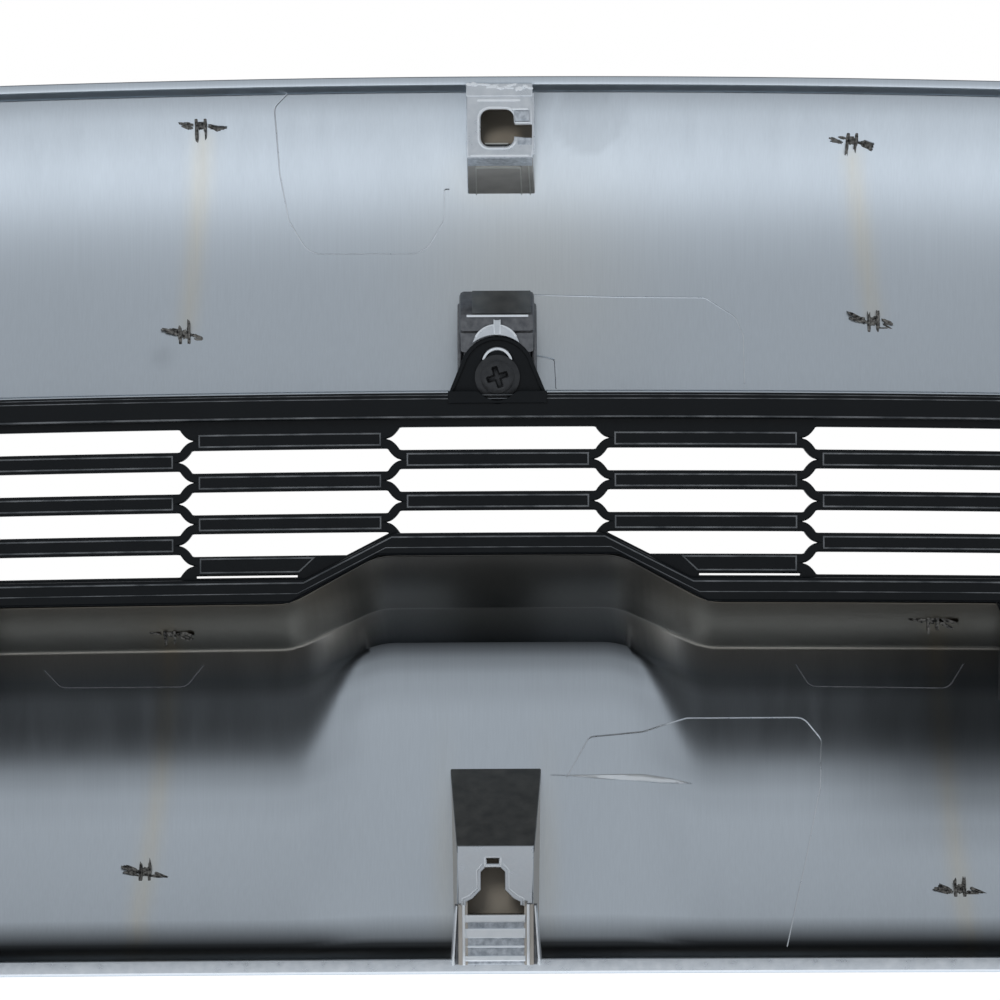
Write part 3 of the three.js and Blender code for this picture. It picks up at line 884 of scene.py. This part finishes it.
def all_slots():
    """Every slot, cut off where the frame rises over the pad, and a slit below each odd column."""
    found = []
    for column in range(-SLOT_COLUMNS, SLOT_COLUMNS + 1):
        x = column * SLOT_PITCH_X
        for z in slot_rows(column):
            outline = slot_outline(x, z)
            if abs(column) == 1:
                outline = kept_above(outline, (column * 26, -1.2), (column * 48, -12.4))
            found.append(outline)
        if column % 2:
            low_x, high_x = x - 23.4, x + 23.4
            if column == 1:
                low_x = 50
            if column == -1:
                high_x = -50
            found.append(subdivided(rect(low_x, high_x, -12.6, -12.1), 8))
    return found


def screw_places():
    places = [(x, MESH_TOP + UPPER_SCREW) for x in UPPER_TAB_X]
    places += [(x, MESH_BOTTOM - LOWER_SCREW) for x in LOWER_TAB_X]
    return places + [(side * END_SCREW_X, z) for side in (-1, 1) for z in END_SCREW_Z]


SPIGOT_RISE = 7.4          # centre of the spigot above the mesh's edge


def spigot_arc(x, inner, outer):
    """The stretch of a ring that shows above the screw's washer."""
    z = MESH_TOP + SPIGOT_RISE
    return arc(x, z, outer, 12, 168, 20) + arc(x, z, inner, 168, 12, 20)


def rect(x0, x1, z0, z1):
    return [(x0, z0), (x1, z0), (x1, z1), (x0, z1)]


def frame_parts(outer, inner, rear, front, bevel):
    return cut_out(subdivided(outer, 12), [subdivided(inner, 12)], rear, front, bevel)


def bar_frames():
    """Thin raised frames on the bars between the slots, and on the blind pockets above and below them."""
    parts = []
    for column in range(-SLOT_COLUMNS, SLOT_COLUMNS + 1):
        x = column * SLOT_PITCH_X
        middles = [z - SLOT_PITCH_Z / 2 for z in slot_rows(column)[:-1]]
        if column % 2:
            middles += [ODD_TOP + SLOT_PITCH_Z / 2]
        if column % 2 and abs(column) > 1:
            middles += [slot_rows(column)[-1] - SLOT_PITCH_Z / 2]
        for middle in middles:
            outer = rect(x - 22.7, x + 22.7, middle - 1.62, middle + 1.62)
            inner = rect(x - 22.3, x + 22.3, middle - 1.2, middle + 1.2)
            parts.append(frame_parts(outer, inner, -3.28, -2.8, 0.1))
    for side in (-1, 1):
        outer = [(side * 45.5, -7.6), (side * 74.3, -7.6), (side * 74.3, -11.4), (side * 49.5, -11.4)]
        inner = [(side * 46.4, -8.0), (side * 73.9, -8.0), (side * 73.9, -11.0), (side * 49.7, -11.0)]
        parts.append(frame_parts(outer, inner, -3.28, -2.8, 0.1))
    return parts


def rib(path, width, rear, front):
    """A thin upright rib along an open (x, z) path."""
    left = [(x, z + width / 2) for x, z in path]
    right = [(x, z - width / 2) for x, z in reversed(path)]
    return cut_out(subdivided(left + right, 12), [], rear, front, width * 0.3)


def frame_ribs():
    """Fine ribs along the frame above and below the slots."""
    low = [(-446, -14.0), *stepped_edge(-14.0, 11.2, 26.5, 48.5), (446, -14.0)]
    lower = [(-470, -16.6), *stepped_edge(-16.6, 11.2, 28.0, 50.0), (470, -16.6)]
    upper = [
        rib([(-470, z), (470, z)], width, rear, -4.8)
        for z, width, rear in ((27.0, 0.45, -5.25), (31.5, 0.25, -5.15), (32.4, 0.2, -5.15))
    ]
    return [*upper, rib(low, 0.40, -5.25, -4.8), rib(lower, 0.22, -5.15, -4.8)]


def make_mesh_insert():
    outline = subdivided(mesh_outline(), 8)
    screw_holes = [circle(x, z, SCREW_HOLE) for x, z in screw_places()]
    windows = [spigot_arc(x, 3.05, 4.0) for x in UPPER_TAB_X]
    parts = [cut_out(outline, all_slots() + screw_holes + windows, -3, 0, 0.4)]

    band_outer = [
        (MESH_END, MESH_BOTTOM), (MESH_END, MESH_TOP), (-MESH_END, MESH_TOP), (-MESH_END, MESH_BOTTOM),
        *stepped_edge(MESH_BOTTOM, PAD_RISE - 0.25, PAD_INNER, PAD_OUTER),
    ]
    seats = [circle(side * END_SCREW_X, z, 6.2) for side in (-1, 1) for z in END_SCREW_Z]
    band_outer = subdivided(band_outer, 12)
    for x in UPPER_TAB_X:
        band_outer = dented(band_outer, x, MESH_TOP + UPPER_SCREW, 6.2)
    parts.append(cut_out(band_outer, [subdivided(window_outline(), 12)] + seats, -5, -2.6, 0.55))

    for x, edge, up in [(x, MESH_TOP, 1) for x in UPPER_TAB_X] + [(x, MESH_BOTTOM, -1) for x in LOWER_TAB_X]:
        rim = tab_outline(x, edge, up)
        inside = tab_outline(x, edge, up, 1.1)
        parts.append(cut_out(rim + inside[::-1], [], -3.7, -2.8, 0.25))
    for x in UPPER_TAB_X:
        foot = subdivided(rect(x - 12.3, x + 12.3, MESH_TOP - 2.7, MESH_TOP + 0.4), 1)
        parts.append(cut_out(dented(foot, x, MESH_TOP + UPPER_SCREW, 5.8), [], -5.45, -4.6, 0.2))
    link("mesh_insert_moulding", bent_mesh("mesh", parts), [BLACK], ["mesh_insert"])
    # The ribs in a lighter black: painted highlight.
    ribs = bent_mesh("ribs", bar_frames() + frame_ribs())
    link("mesh_insert_ribs", ribs, [EDGE])


def dented(loop, cx, cz, radius):
    """The loop pushed out of a circle, downwards."""
    points = []
    for x, z in loop:
        reach = radius ** 2 - (x - cx) ** 2
        floor = cz - math.sqrt(reach) if reach > 0 else None
        points.append((x, min(z, floor)) if floor is not None and z > 0 else (x, z))
    return points


# ------------------------------------------------------------------ screws

RECESS_DEPTH = 2.0
SHANK, SHANK_TIP = 2.0, 8.0


def screw_head(x, z, turn):
    """Domed washer head with a cross recess, as a polar grid, and its shank."""
    dome = [0.25 * k for k in range(4)] + [1.0 + 0.3 * k for k in range(10)] + [3.95, 4.1]
    rings = dome + [4.15, 5.3, 5.5, WASHER]
    spokes = 64
    seat = -3.05
    vertices, faces = [], []
    for ring in rings:
        for k in range(spokes):
            angle = 2 * math.pi * k / spokes
            u, v = ring * math.cos(angle), ring * math.sin(angle)
            local = angle - math.radians(turn)
            a, b = abs(ring * math.cos(local)), abs(ring * math.sin(local))
            across_arm = max(0.0, 1 - max(0.0, min(a, b) - 0.5) / 0.25)
            along_arm = max(0.0, 1 - max(0.0, max(a, b) - 2.3) / 0.5)
            if ring <= 4.12:
                height = 1.25 + 1.9 * math.sqrt(max(0.0, 1 - (ring / 4.5) ** 2)) ** 0.9
                height -= across_arm * along_arm * RECESS_DEPTH
            else:
                height = 1.2 - 0.5 * max(0.0, ring - 4.6) / 1.0
            vertices.append((x + u, seat - height, z + v))
    for r in range(len(rings) - 1):
        for k in range(spokes):
            a, b = r * spokes + k, r * spokes + (k + 1) % spokes
            faces.append((a, b, b + spokes, a + spokes))
    below = len(vertices)
    steps = [(WASHER, seat), (SHANK, seat), (SHANK, SHANK_TIP - 2), (0.2, SHANK_TIP)]
    for radius, y in steps:
        for k in range(spokes):
            angle = 2 * math.pi * k / spokes
            vertices.append((x + radius * math.cos(angle), y, z + radius * math.sin(angle)))
    start = (len(rings) - 1) * spokes
    chain = [start] + [below + i * spokes for i in range(len(steps))]
    for low, high in zip(chain, chain[1:]):
        for k in range(spokes):
            a, b = low + k, low + (k + 1) % spokes
            faces.append((a, b, high + (k + 1) % spokes, high + k))
    faces.append(tuple(range(below + 3 * spokes, below + 4 * spokes)))
    return vertices, faces


def make_screws():
    names = [f"upper_screw_{k + 1}" for k in range(len(UPPER_TAB_X))]
    names += [f"lower_screw_{k + 1}" for k in range(len(LOWER_TAB_X))]
    names += [f"{side}_end_screw_{k + 1}" for side in ("left", "right") for k in range(len(END_SCREW_Z))]
    for name, (x, z) in zip(names, screw_places()):
        turn = 17 if name == "upper_screw_2" else dice.uniform(0, 90)
        mesh = bent_mesh(name, [screw_head(x, z, turn)])
        link(f"{name}_body", mesh, [STEEL], [name], 30)


# ------------------------------------------------------------------ towers

INTO_PANEL = 1.2           # how far a tower's walls run into the panel's shell


def side_plate(section, low, high, bevel):
    """A (y, z) outline as a plate from x low to x high."""
    return cut_out(section, [], low, high, bevel, "x")


def box_part(xs, ys, zs, bevel):
    return cut_out(rect(xs[0], xs[1], zs[0], zs[1]), [], ys[0], ys[1], bevel)


def beside(x, side, near, far):
    """The stretch between two distances from x, on one side of it."""
    return sorted((x + side * near, x + side * far))


def rear_bar(xs, zs, height, bevel):
    """A low bar on a clip tower's rear face."""
    return box_part(xs, (TOWER_REAR - height, TOWER_REAR + 0.3), zs, bevel)


def upper_surface(low, high, count=8):
    """(y, z) points just inside the upper panel's shell between two heights."""
    heights = [mix(low, high, k / count) for k in range(count + 1)]
    return [(upper_back(z) + INTO_PANEL, z) for z in heights]


def lower_surface(x, low, high, count=8):
    heights = [mix(low, high, k / count) for k in range(count + 1)]
    return [(lower_back(x, z) + INTO_PANEL, z) for z in heights]


def drafted(part, x, rear, growth):
    """The part made wider towards the panel. growth is the share per millimetre for each side."""
    points, faces = part
    moved = []
    for px, py, pz in points:
        share = growth[1] if px > x else growth[0]
        moved.append((x + (px - x) * (1 + share * max(0.0, py - rear)), py, pz))
    return moved, faces


def tower_pieces(name, groups, draft=None):
    """One object for each (suffix, material, parts) group; the first stands for the CAD node."""
    for index, (suffix, material, parts) in enumerate(groups):
        if draft:
            parts = [drafted(part, *draft) for part in parts]
        mesh = bent_mesh(name, parts)
        link(f"{name}_{suffix}", mesh, [material], [name] if index == 0 else [])


def strip(start, end, height, low, high, bevel=0.15):
    """A thin plate along a straight (y, z) line, from x low to x high."""
    (ay, az), (by, bz) = start, end
    return side_plate([(ay, az), (by, bz), (by, bz + height), (ay, az + height)], low, high, bevel)


def upper_clip_tower(name, centre):
    """Hollow tower with a C-shaped clip opening, a raised frame round it and steps beside it."""
    x = centre + 0.4
    rear, wall = TOWER_REAR, 2.4
    low, top, foot = 91.0, 109.2, 83.6
    left, right = x - 7.7, x + 8.6
    slot_low, slot_high = 96.3, 99.1
    hole_low, hole_high = 93.8, 102.9
    hole_left, hole_right, corner = x - 4.2, x + 4.0, 2.2
    face = [(left, low), (right, low), (right, slot_low - 0.5), (hole_right, slot_low)]
    face += arc(hole_right - corner, hole_low + corner, corner, 0, -90, 6)
    face += arc(hole_left + corner, hole_low + corner, corner, -90, -180, 6)
    face += arc(hole_left + corner, hole_high - corner, corner, 180, 90, 6)
    face += arc(hole_right - corner, hole_high - corner, corner, 90, 20, 5)
    face += [(hole_right, slot_high + 0.5), (hole_right + 0.3, slot_high), (right, slot_high)]
    face += [(right, top), (left, top)]
    body = [cut_out(face, [], rear, rear + wall, 0.35)]
    ring = []
    for radius, turn in ((corner + 0.85, 1), (corner + 0.3, -1)):
        path = arc(hole_right - corner, hole_high - corner, radius, 50, 90, 4)
        path += arc(hole_left + corner, hole_high - corner, radius, 90, 180, 8)
        path += arc(hole_left + corner, hole_low + corner, radius, 180, 270, 8)
        path += arc(hole_right - corner, hole_low + corner, radius, 270, 340, 7)
        ring += path[::turn]
    # The raised frame round the hole and thin bars on the rear face, in the brightest tone: painted
    # highlight.
    bright = [
        cut_out(ring, [], rear - 0.4, rear + 0.3, 0.2),
        rear_bar((hole_right - 0.4, x + 7.6), (102.7, 103.3), 0.5, 0.2),
        rear_bar((x + 4.3, x + 8.2), (slot_high + 0.2, slot_high + 0.75), 0.9, 0.25),
        rear_bar((left + 0.9, right - 0.8), (91.2, 91.8), 0.4, 0.22),
        rear_bar((x - 5.0, x + 5.6), (104.9, 105.5), 0.15, 0.1),
    ]
    body.append(box_part((right - 0.15, right + 0.5), (rear + 0.1, rear + 2.0), (low + 0.7, top - 2.2), 0.2))
    body.append(box_part((left - 0.1, right + 0.1), (rear - 0.3, rear + 0.4), (106.1, 109.3), 0.25))
    # Steps in a dark mottled tone: painted shade.
    shaded_steps = [
        rear_bar((x + 4.2, x + 7.9), (99.9, 102.6), 0.6, 0.4),
        rear_bar((x + 4.9, x + 8.4), (94.2, 95.9), 0.2, 0.15),
    ]
    flank = [(rear + 0.8, top), (rear + 0.8, low)] + upper_surface(foot, top)
    body.append(side_plate(flank, left, left + wall, 0.3))
    lid = [(rear + 0.6, top - 0.1), (rear + 0.6, top - wall)] + upper_surface(top - wall, top - 0.1, 2)
    body.append(side_plate(lid, left + 0.3, right - 0.3, 0.25))
    deep = upper_back(foot) + INTO_PANEL
    slope = (foot - low) / (deep - rear)
    # The underside in a darker tone: painted shade.
    under = [strip((rear + 0.3, low - 0.1), (deep, foot), wall, left + 0.1, right - 0.1, 0.3)]
    reach = 5.5
    step_end = (rear + reach, low + slope * reach - 0.3)
    shaded_steps.append(strip((rear + 0.2, low - 0.2), step_end, 0.5, left + 0.2, right - 0.2, 0.12))
    ribs = []
    start, end = (rear + reach + 1.0, low + slope * (reach + 1.0) - 0.35), (deep, foot - 0.3)
    for rib_x in (x - 5.6, x + 5.3, x + 7.3):
        ribs.append(strip(start, end, 0.5, rib_x, rib_x + 0.3, 0.1))
    ribs.append(strip(start, (start[0] + 1.2, start[1] + slope * 1.2), 0.5, x - 5.6, x + 5.6, 0.1))
    # A dark plate inside the hole, painted shade of the tower's hollow inside, and a light strip along its
    # lower edge, a painted highlight.
    lined = [(rear + 12, hole_high + 2), (rear + 3.6, 94.7), (rear + 4.1, 94.6), (rear + 12.5, hole_high + 2)]
    lining = [side_plate(lined, left + 2.2, right - 0.2, 0.05)]
    ribs.append(box_part((x - 3.2, x + 2.6), (rear + 3.3, rear + 4.0), (94.5, 94.9), 0.1))
    tower_pieces(name, [
        ("body", TOWER, body), ("frame", HIGHLIGHT, bright), ("underside", UNDERSIDE, under),
        ("ribs", SEAM, ribs), ("lining", LINING, lining), ("steps", MOTTLED_SHADE, shaded_steps),
    ], (x, rear, (0.0, 0.0035)))


def weld_blobs(name, centre):
    """Uneven beads where the tower is joined to the outer rim, in the brightest tone: painted highlight."""
    parts = []
    for k in range(11):
        x = centre + mix(-6.6, 8.4, k / 10) + dice.uniform(-0.5, 0.5)
        z = 109.2 - dice.uniform(0.0, 1.3)
        parts.append(ragged_plate(x, z, dice.uniform(1.4, 3.0), dice.uniform(0.5, 1.1), dice.uniform(-12, 12),
                                  TOWER_REAR - dice.uniform(0.35, 0.7), TOWER_REAR + 0.4))
    link(name, bent_mesh(name, parts), [HIGHLIGHT])


def collar_crescent(x, centre, radius, inset):
    """The part of a round collar that stands out beyond the tab's arc."""
    tab_centre, tab_radius = MESH_TOP + TAB_CENTRE, TAB_RADIUS + 0.15 + inset
    reach = centre - tab_centre
    level = (reach ** 2 + tab_radius ** 2 - radius ** 2) / (2 * reach)
    outer_start = math.degrees(math.asin((level - reach) / radius))
    inner_start = math.degrees(math.asin(level / tab_radius))
    outer = arc(x, centre, radius, outer_start, 180 - outer_start, 24)
    inner = arc(x, tab_centre, tab_radius, 180 - inner_start, inner_start, 24)
    return outer + inner[1:-1]


def screw_tower(name, x, up):
    """Block behind a tab with a sloped shoulder beyond it. The block and the shoulder are in dark tones,
    painted shade, and the ledge and edges in the brightest tone, a painted highlight.
    """
    lip = UPPER_LIP if up > 0 else LOWER_LIP

    def at(y, height):
        return (y, lip + up * height)

    section = [at(LIP_REAR + 0.4, 0.9), at(LIP_REAR, 9.5), at(-2.6, 9.5), at(-2.7, 14.2), at(-3.4, 14.8),
               at(-3.5, 18.3), at(-3.2, 19.1), at(4, 24.9)]
    for k in range(12, 0, -1):
        z = lip + up * mix(0.9, 25.3, k / 12)
        section.append(((upper_back(z) if up > 0 else lower_depth(x, z)) + INTO_PANEL, z))
    body = [side_plate(section, x - 9.4, x + 9.3, 1.1)]
    cheek = [at(2, 3.0), at(-1.5, 3.0), at(-1.5, 13), at(1, 20), at(6, 22), at(8, 12)]
    side = [side_plate(cheek, x + 8.6, x + 9.9, 0.6), side_plate(cheek, x - 9.9, x - 8.9, 0.4)]
    ledge = [at(-4.0, 18.2), at(-4.0, 18.7), at(-3.0, 18.9), at(-3.0, 18.2)]
    bright = [side_plate(ledge, x - 7.6, x + 7.8, 0.12)]
    shoulder = [at(-3.75, 19.1), at(3.4, 25.05), at(4.2, 24.8), at(-2.9, 18.9)]
    dark = [side_plate(shoulder, x - 6.2, x + 8.4, 0.12)]
    plain = []
    if up > 0:
        centre = x - 0.3
        bright.append(cut_out(spigot_arc(x, 3.15, 3.85), [], -3.1, 0.6, 0.15))
        plain.append(cut_out(collar_crescent(centre, COLLAR_HEIGHT, 6.0, 0.0), [], -4.6, -3.2, 0.15))
        rim_outer = arc(centre, COLLAR_HEIGHT, 6.1, 30, 150, 24)
        rim_inner = arc(centre, COLLAR_HEIGHT, 5.6, 150, 30, 24)
        bright.append(cut_out(rim_outer + rim_inner, [], -4.85, -3.2, 0.15))
        plain.append(box_part((x - 0.75, x + 0.75), (-5.1, -3.4), (47.3, 51.0), 0.2))
        for turn in (-1, 1):
            bright.append(box_part(beside(x, turn, 0.62, 0.88), (-5.2, -3.4), (47.4, 51.1), 0.1))
    groups = [("body", GREY, body + side), ("edges", HIGHLIGHT, bright), ("shoulder", ROOF, dark)]
    if plain:
        groups.append(("collar", TOWER, plain))
    tower_pieces(name, groups)


def keyhole(x, grow):
    """Half of the keyhole's edge, from its top to its mouth, grown outwards."""
    return [
        (x + 1.9 + grow * 0.7, -84.9 + grow), (x + 2.9 + grow, -85.9 + grow * 0.4),
        (x + 2.9 + grow, -90.3 + grow * 0.3), (x + 5.0 + grow * 0.9, -92.5 + grow * 0.8),
        (x + 6.6 + grow, -93.3 + grow * 0.8), (x + 6.6 + grow, -94.2),
    ]


def mirrored(half, x):
    return [(2 * x - px, pz) for px, pz in reversed(half)]


def leaned(part, rear, bottom):
    """The part's rear face leaning forward with height."""
    points, faces = part
    moved = []
    for x, y, z in points:
        share = max(0.0, 1 - max(0.0, y - rear) / 8)
        moved.append((x, y + 0.055 * (z - bottom) * share, z))
    return moved, faces


def lower_clip_tower(name, centre):
    """Hollow tower with a sloped top in a dark tone of painted shade, a keyhole for a clip, and stepped
    ledges between two legs.
    """
    x = centre - 1.05
    key_x = x - 0.7
    rear, wall = TOWER_REAR, 2.4
    top, bottom = -79.5, -108.9
    face_low, mouth = -93.9, -93.3
    face = [(x - 9.5, face_low), (x - 9.3, top), (x + 9.3, top)]
    face += [(x + 9.2, face_low), (x + 7.5, face_low), (x + 7.5, mouth)]
    neck = keyhole(key_x, 0)[3::-1]
    face += neck + mirrored(neck, key_x)
    face += [(x - 8.2, mouth), (x - 8.2, face_low)]
    dark_slot = rect(key_x - 1.45, key_x + 1.45, -83.8, -82.6)
    body = [cut_out(face, [dark_slot], rear, rear + wall, 0.3)]
    # Raised frames, bars, ledges and legs in the brightest tone: painted highlight.
    raised, shallow = [], []
    for grow, width, height, found in ((1.15, 0.3, 0.35, raised), (0.75, 0.7, 0.15, shallow)):
        outer, inner = keyhole(key_x, grow), keyhole(key_x, grow - width)
        half = outer + inner[::-1]
        found.append(cut_out(half, [], rear - height, rear + 0.3, 0.12))
        found.append(cut_out(mirrored(half, key_x), [], rear - height, rear + 0.3, 0.12))
    raised.append(rear_bar((key_x - 2.2, key_x + 2.2), (-84.7, -84.2), 0.3, 0.15))
    raised.append(rear_bar((key_x - 2.0, key_x + 2.0), (-82.4, -82.1), 0.3, 0.1))
    for side in (-1, 1):
        raised.append(rear_bar(beside(key_x, side, 1.7, 2.2), (-84.4, -82.3), 0.3, 0.1))
    # each ledge's upper edge, lower edge and distance in front of the rear face
    ledges = [(-96.5, -98.4, 0.0), (-99.9, -102.3, 0.4), (-104.1, -104.7, 0.8), (-106.6, -108.0, 0.3)]
    for high, low, deep in ledges:
        depths = (rear + deep, rear + deep + 2.4)
        raised.append(box_part((key_x - 7.4, key_x + 8.0), depths, (low, high), 0.35))
    # The backing between the legs, and the gutters beside them, in dark tones: painted shade.
    shaded = [box_part((x - 8.0, x + 8.0), (rear + 1.4, rear + 4.0), (bottom, -96.9), 0.3)]
    grey = []
    for side in (-1, 1):
        inner_leg, gutter = beside(x, side, 7.6, 8.3), beside(x, side, 8.3, 10.0)
        raised.append(box_part(inner_leg, (rear - 0.3, rear + 2.6), (bottom, face_low), 0.25))
        grey.append(box_part(gutter, (rear + 1.6, rear + 3.0), (bottom, face_low), 0.3))
        outer_leg = [
            (x + side * 9.45, -94.3), (x + side * 9.85, -94.3),
            (x + side * 11.0, bottom), (x + side * 10.4, bottom),
        ]
        raised.append(cut_out(outer_leg, [], rear + 0.1, rear + 6.0, 0.18))
    deep = lower_back(x, -63.5) + INTO_PANEL
    head = -61.6
    flank = [(rear + 0.8, bottom), (rear + 0.8, top - 0.3)] + lower_surface(x, bottom + 1, head - 0.4)[::-1]
    flanks = []
    for side in (-1, 1):
        flanks.append(side_plate(flank, *beside(x, side, 9.3 - wall, 9.3), 0.3))
    # The roof in a dark tone: painted shade.
    roof = [strip((rear + 1.2, top - 1.8), (deep, head - 1.8), 1.9, x - 9.45, x + 9.45, 0.25)]
    # A dark plate inside the keyhole: painted shade of the tower's hollow inside.
    lined = [(rear + 9.0, -82.0), (rear + 6.0, -96.6), (rear + 6.5, -96.6), (rear + 9.5, -82.0)]
    lining = [side_plate(lined, x - 7.4, x + 7.4, 0.05)]
    groups = [
        ("body", TOWER, body), ("frame", HIGHLIGHT, raised), ("bevel", TOWER, shallow), ("roof", ROOF, roof),
        ("backing", MOTTLED_SHADE, shaded), ("gutters", GREY, grey), ("lining", LINING, lining),
        ("flanks", FLANK, flanks),
    ]
    groups = [
        (suffix, material, [leaned(part, rear, bottom) for part in parts])
        for suffix, material, parts in groups
    ]
    tower_pieces(name, groups, (x, rear, (0.0064, 0.0072)))


# ------------------------------------------------------------------ everything in place

make_panel("upper_panel", upper_section, True)
make_panel("lower_panel", lower_section, False)
make_end_cap("left_end_cap", -1)
make_end_cap("right_end_cap", 1)
make_rim_bead()
for side in (-1, 1):
    make_end_bosses(side)
make_mesh_insert()
make_screws()
for index, tower_x in enumerate(CLIP_TOWER_X):
    upper_clip_tower(f"upper_clip_tower_{index + 1}", tower_x)
    lower_clip_tower(f"lower_clip_tower_{index + 1}", tower_x)
    weld_blobs(f"weld_{index + 1}", tower_x)
for index, tower_x in enumerate(UPPER_TAB_X):
    screw_tower(f"upper_screw_tower_{index + 1}", tower_x, 1)
for index, tower_x in enumerate(LOWER_TAB_X):
    screw_tower(f"lower_screw_tower_{index + 1}", tower_x, -1)
make_witness_lines("upper_witness_lines", UPPER_WITNESS, True, TOWER)
make_witness_lines("lower_witness_lines", LOWER_WITNESS, False, TOWER)
make_witness_lines("hood_witness_lines", HOOD_WITNESS, False, GREY)
make_lens("pad_bead", [(13.0, -63.6), (36.0, -64.5), (49.0, -66.2)])
make_scars("upper_gate_scars", UPPER_GATES, True)
make_scars("lower_gate_scars", LOWER_GATES, False)

# ------------------------------------------------------------------ stage, light and camera

def flat_sheet(name, xs, ys, level):
    corners = [(xs[0], ys[0], level), (xs[1], ys[0], level), (xs[1], ys[1], level), (xs[0], ys[1], level)]
    mesh = bpy.data.meshes.new(name)
    mesh.from_pydata(corners, [], [(0, 1, 2, 3)])
    return mesh


def make_floor():
    half = 1.6
    mesh = flat_sheet("floor", (-half, half), (-half, half), cad_low.z)
    material, _nodes, _links, shader = new_material("floor")
    shader.inputs["Base Color"].default_value = (0.5, 0.5, 0.5, 1)
    shader.inputs["Roughness"].default_value = 0.9
    shader.inputs["Emission Color"].default_value = (1, 1, 1, 1)
    shader.inputs["Emission Strength"].default_value = 0.75
    mesh.materials.append(material)
    floor = bpy.data.objects.new("floor", mesh)
    bpy.context.scene.collection.objects.link(floor)
    floor.visible_glossy = False


def make_dark_strip():
    """A dark strip on the floor close behind the grille, seen only as a reflection in the plating."""
    near, far, half = -0.02, -0.27, 0.75
    mesh = flat_sheet("dark_strip", (-half, half), (far, near), cad_low.z + 0.001)
    material, nodes, links, shader = new_material("dark_strip")
    place_node = nodes.new("ShaderNodeTexCoord")
    parts = nodes.new("ShaderNodeSeparateXYZ")
    fade = nodes.new("ShaderNodeMapRange")
    fade.interpolation_type = "SMOOTHSTEP"
    fade.inputs["From Min"].default_value = far
    fade.inputs["From Max"].default_value = -0.16
    links.new(place_node.outputs["Object"], parts.inputs["Vector"])
    links.new(parts.outputs["Y"], fade.inputs["Value"])
    links.new(fade.outputs["Result"], shader.inputs["Alpha"])
    shader.inputs["Base Color"].default_value = (0.02, 0.02, 0.02, 1)
    shader.inputs["Roughness"].default_value = 1.0
    shader.inputs["Specular IOR Level"].default_value = 0.0
    mesh.materials.append(material)
    sheet = bpy.data.objects.new("dark_strip", mesh)
    bpy.context.scene.collection.objects.link(sheet)
    sheet.visible_camera = False
    sheet.visible_diffuse = False
    sheet.visible_shadow = False


def make_world():
    """Studio surroundings: brightness by height, and plain white behind the object."""
    world = bpy.data.worlds.new("studio")
    bpy.context.scene.world = world
    world.use_nodes = True
    nodes, links = world.node_tree.nodes, world.node_tree.links
    nodes.clear()
    output = nodes.new("ShaderNodeOutputWorld")
    place_node = nodes.new("ShaderNodeTexCoord")
    parts = nodes.new("ShaderNodeSeparateXYZ")
    height = nodes.new("ShaderNodeMapRange")
    height.inputs["From Min"].default_value = -1
    height.inputs["From Max"].default_value = 1
    ramp = nodes.new("ShaderNodeValToRGB")
    # (upward part of the direction, brightness)
    stops = [
        (-1.0, 0.55), (-0.8, 1.02), (-0.7, 1.16), (-0.6, 1.12), (-0.45, 0.90), (-0.25, 0.66),
        (-0.1, 0.53), (0.0, 0.49), (0.3, 0.42), (0.86, 0.40), (0.93, 0.02),
    ]
    elements = ramp.color_ramp.elements
    while len(elements) < len(stops):
        elements.new(0.5)
    for element, (level, value) in zip(elements, stops):
        element.position = (level + 1) / 2
        element.color = (value * 0.95, value, value * 1.06, 1)
    glow = nodes.new("ShaderNodeBackground")
    plain = nodes.new("ShaderNodeBackground")
    plain.inputs["Color"].default_value = (1, 1, 1, 1)
    plain.inputs["Strength"].default_value = 1.0
    path = nodes.new("ShaderNodeLightPath")
    pick = nodes.new("ShaderNodeMixShader")
    links.new(place_node.outputs["Generated"], parts.inputs["Vector"])
    links.new(parts.outputs["Z"], height.inputs["Value"])
    links.new(height.outputs["Result"], ramp.inputs["Fac"])
    links.new(ramp.outputs["Color"], glow.inputs["Color"])
    links.new(path.outputs["Is Camera Ray"], pick.inputs["Fac"])
    links.new(glow.outputs["Background"], pick.inputs[1])
    links.new(plain.outputs["Background"], pick.inputs[2])
    links.new(pick.outputs["Shader"], output.inputs["Surface"])


def make_key_light():
    light = bpy.data.lights.new("key", "AREA")
    light.energy = 10
    light.size = 0.5
    key = bpy.data.objects.new("key", light)
    key.location = (-0.35, -0.9, 0.75)
    key.rotation_euler = (Vector((0, 0, 0)) - key.location).to_track_quat("-Z", "Y").to_euler()
    key.visible_glossy = False
    bpy.context.scene.collection.objects.link(key)


def make_camera():
    """Straight behind the middle of the grille, which fills the picture."""
    distance = 1.2
    camera_data = bpy.data.cameras.new("camera")
    camera_data.sensor_width = 36
    camera_data.lens = 4.8 * camera_data.sensor_width
    camera_data.clip_start = 0.05
    camera = bpy.data.objects.new("camera", camera_data)
    camera.location = (0.0005, 0.0063 - distance, 0.00625)
    camera.rotation_euler = (math.radians(90), math.radians(0.3), 0)
    bpy.context.scene.collection.objects.link(camera)
    bpy.context.scene.camera = camera


make_floor()
make_dark_strip()
make_world()
make_key_light()
make_camera()
bpy.context.scene.view_settings.view_transform = "Standard"
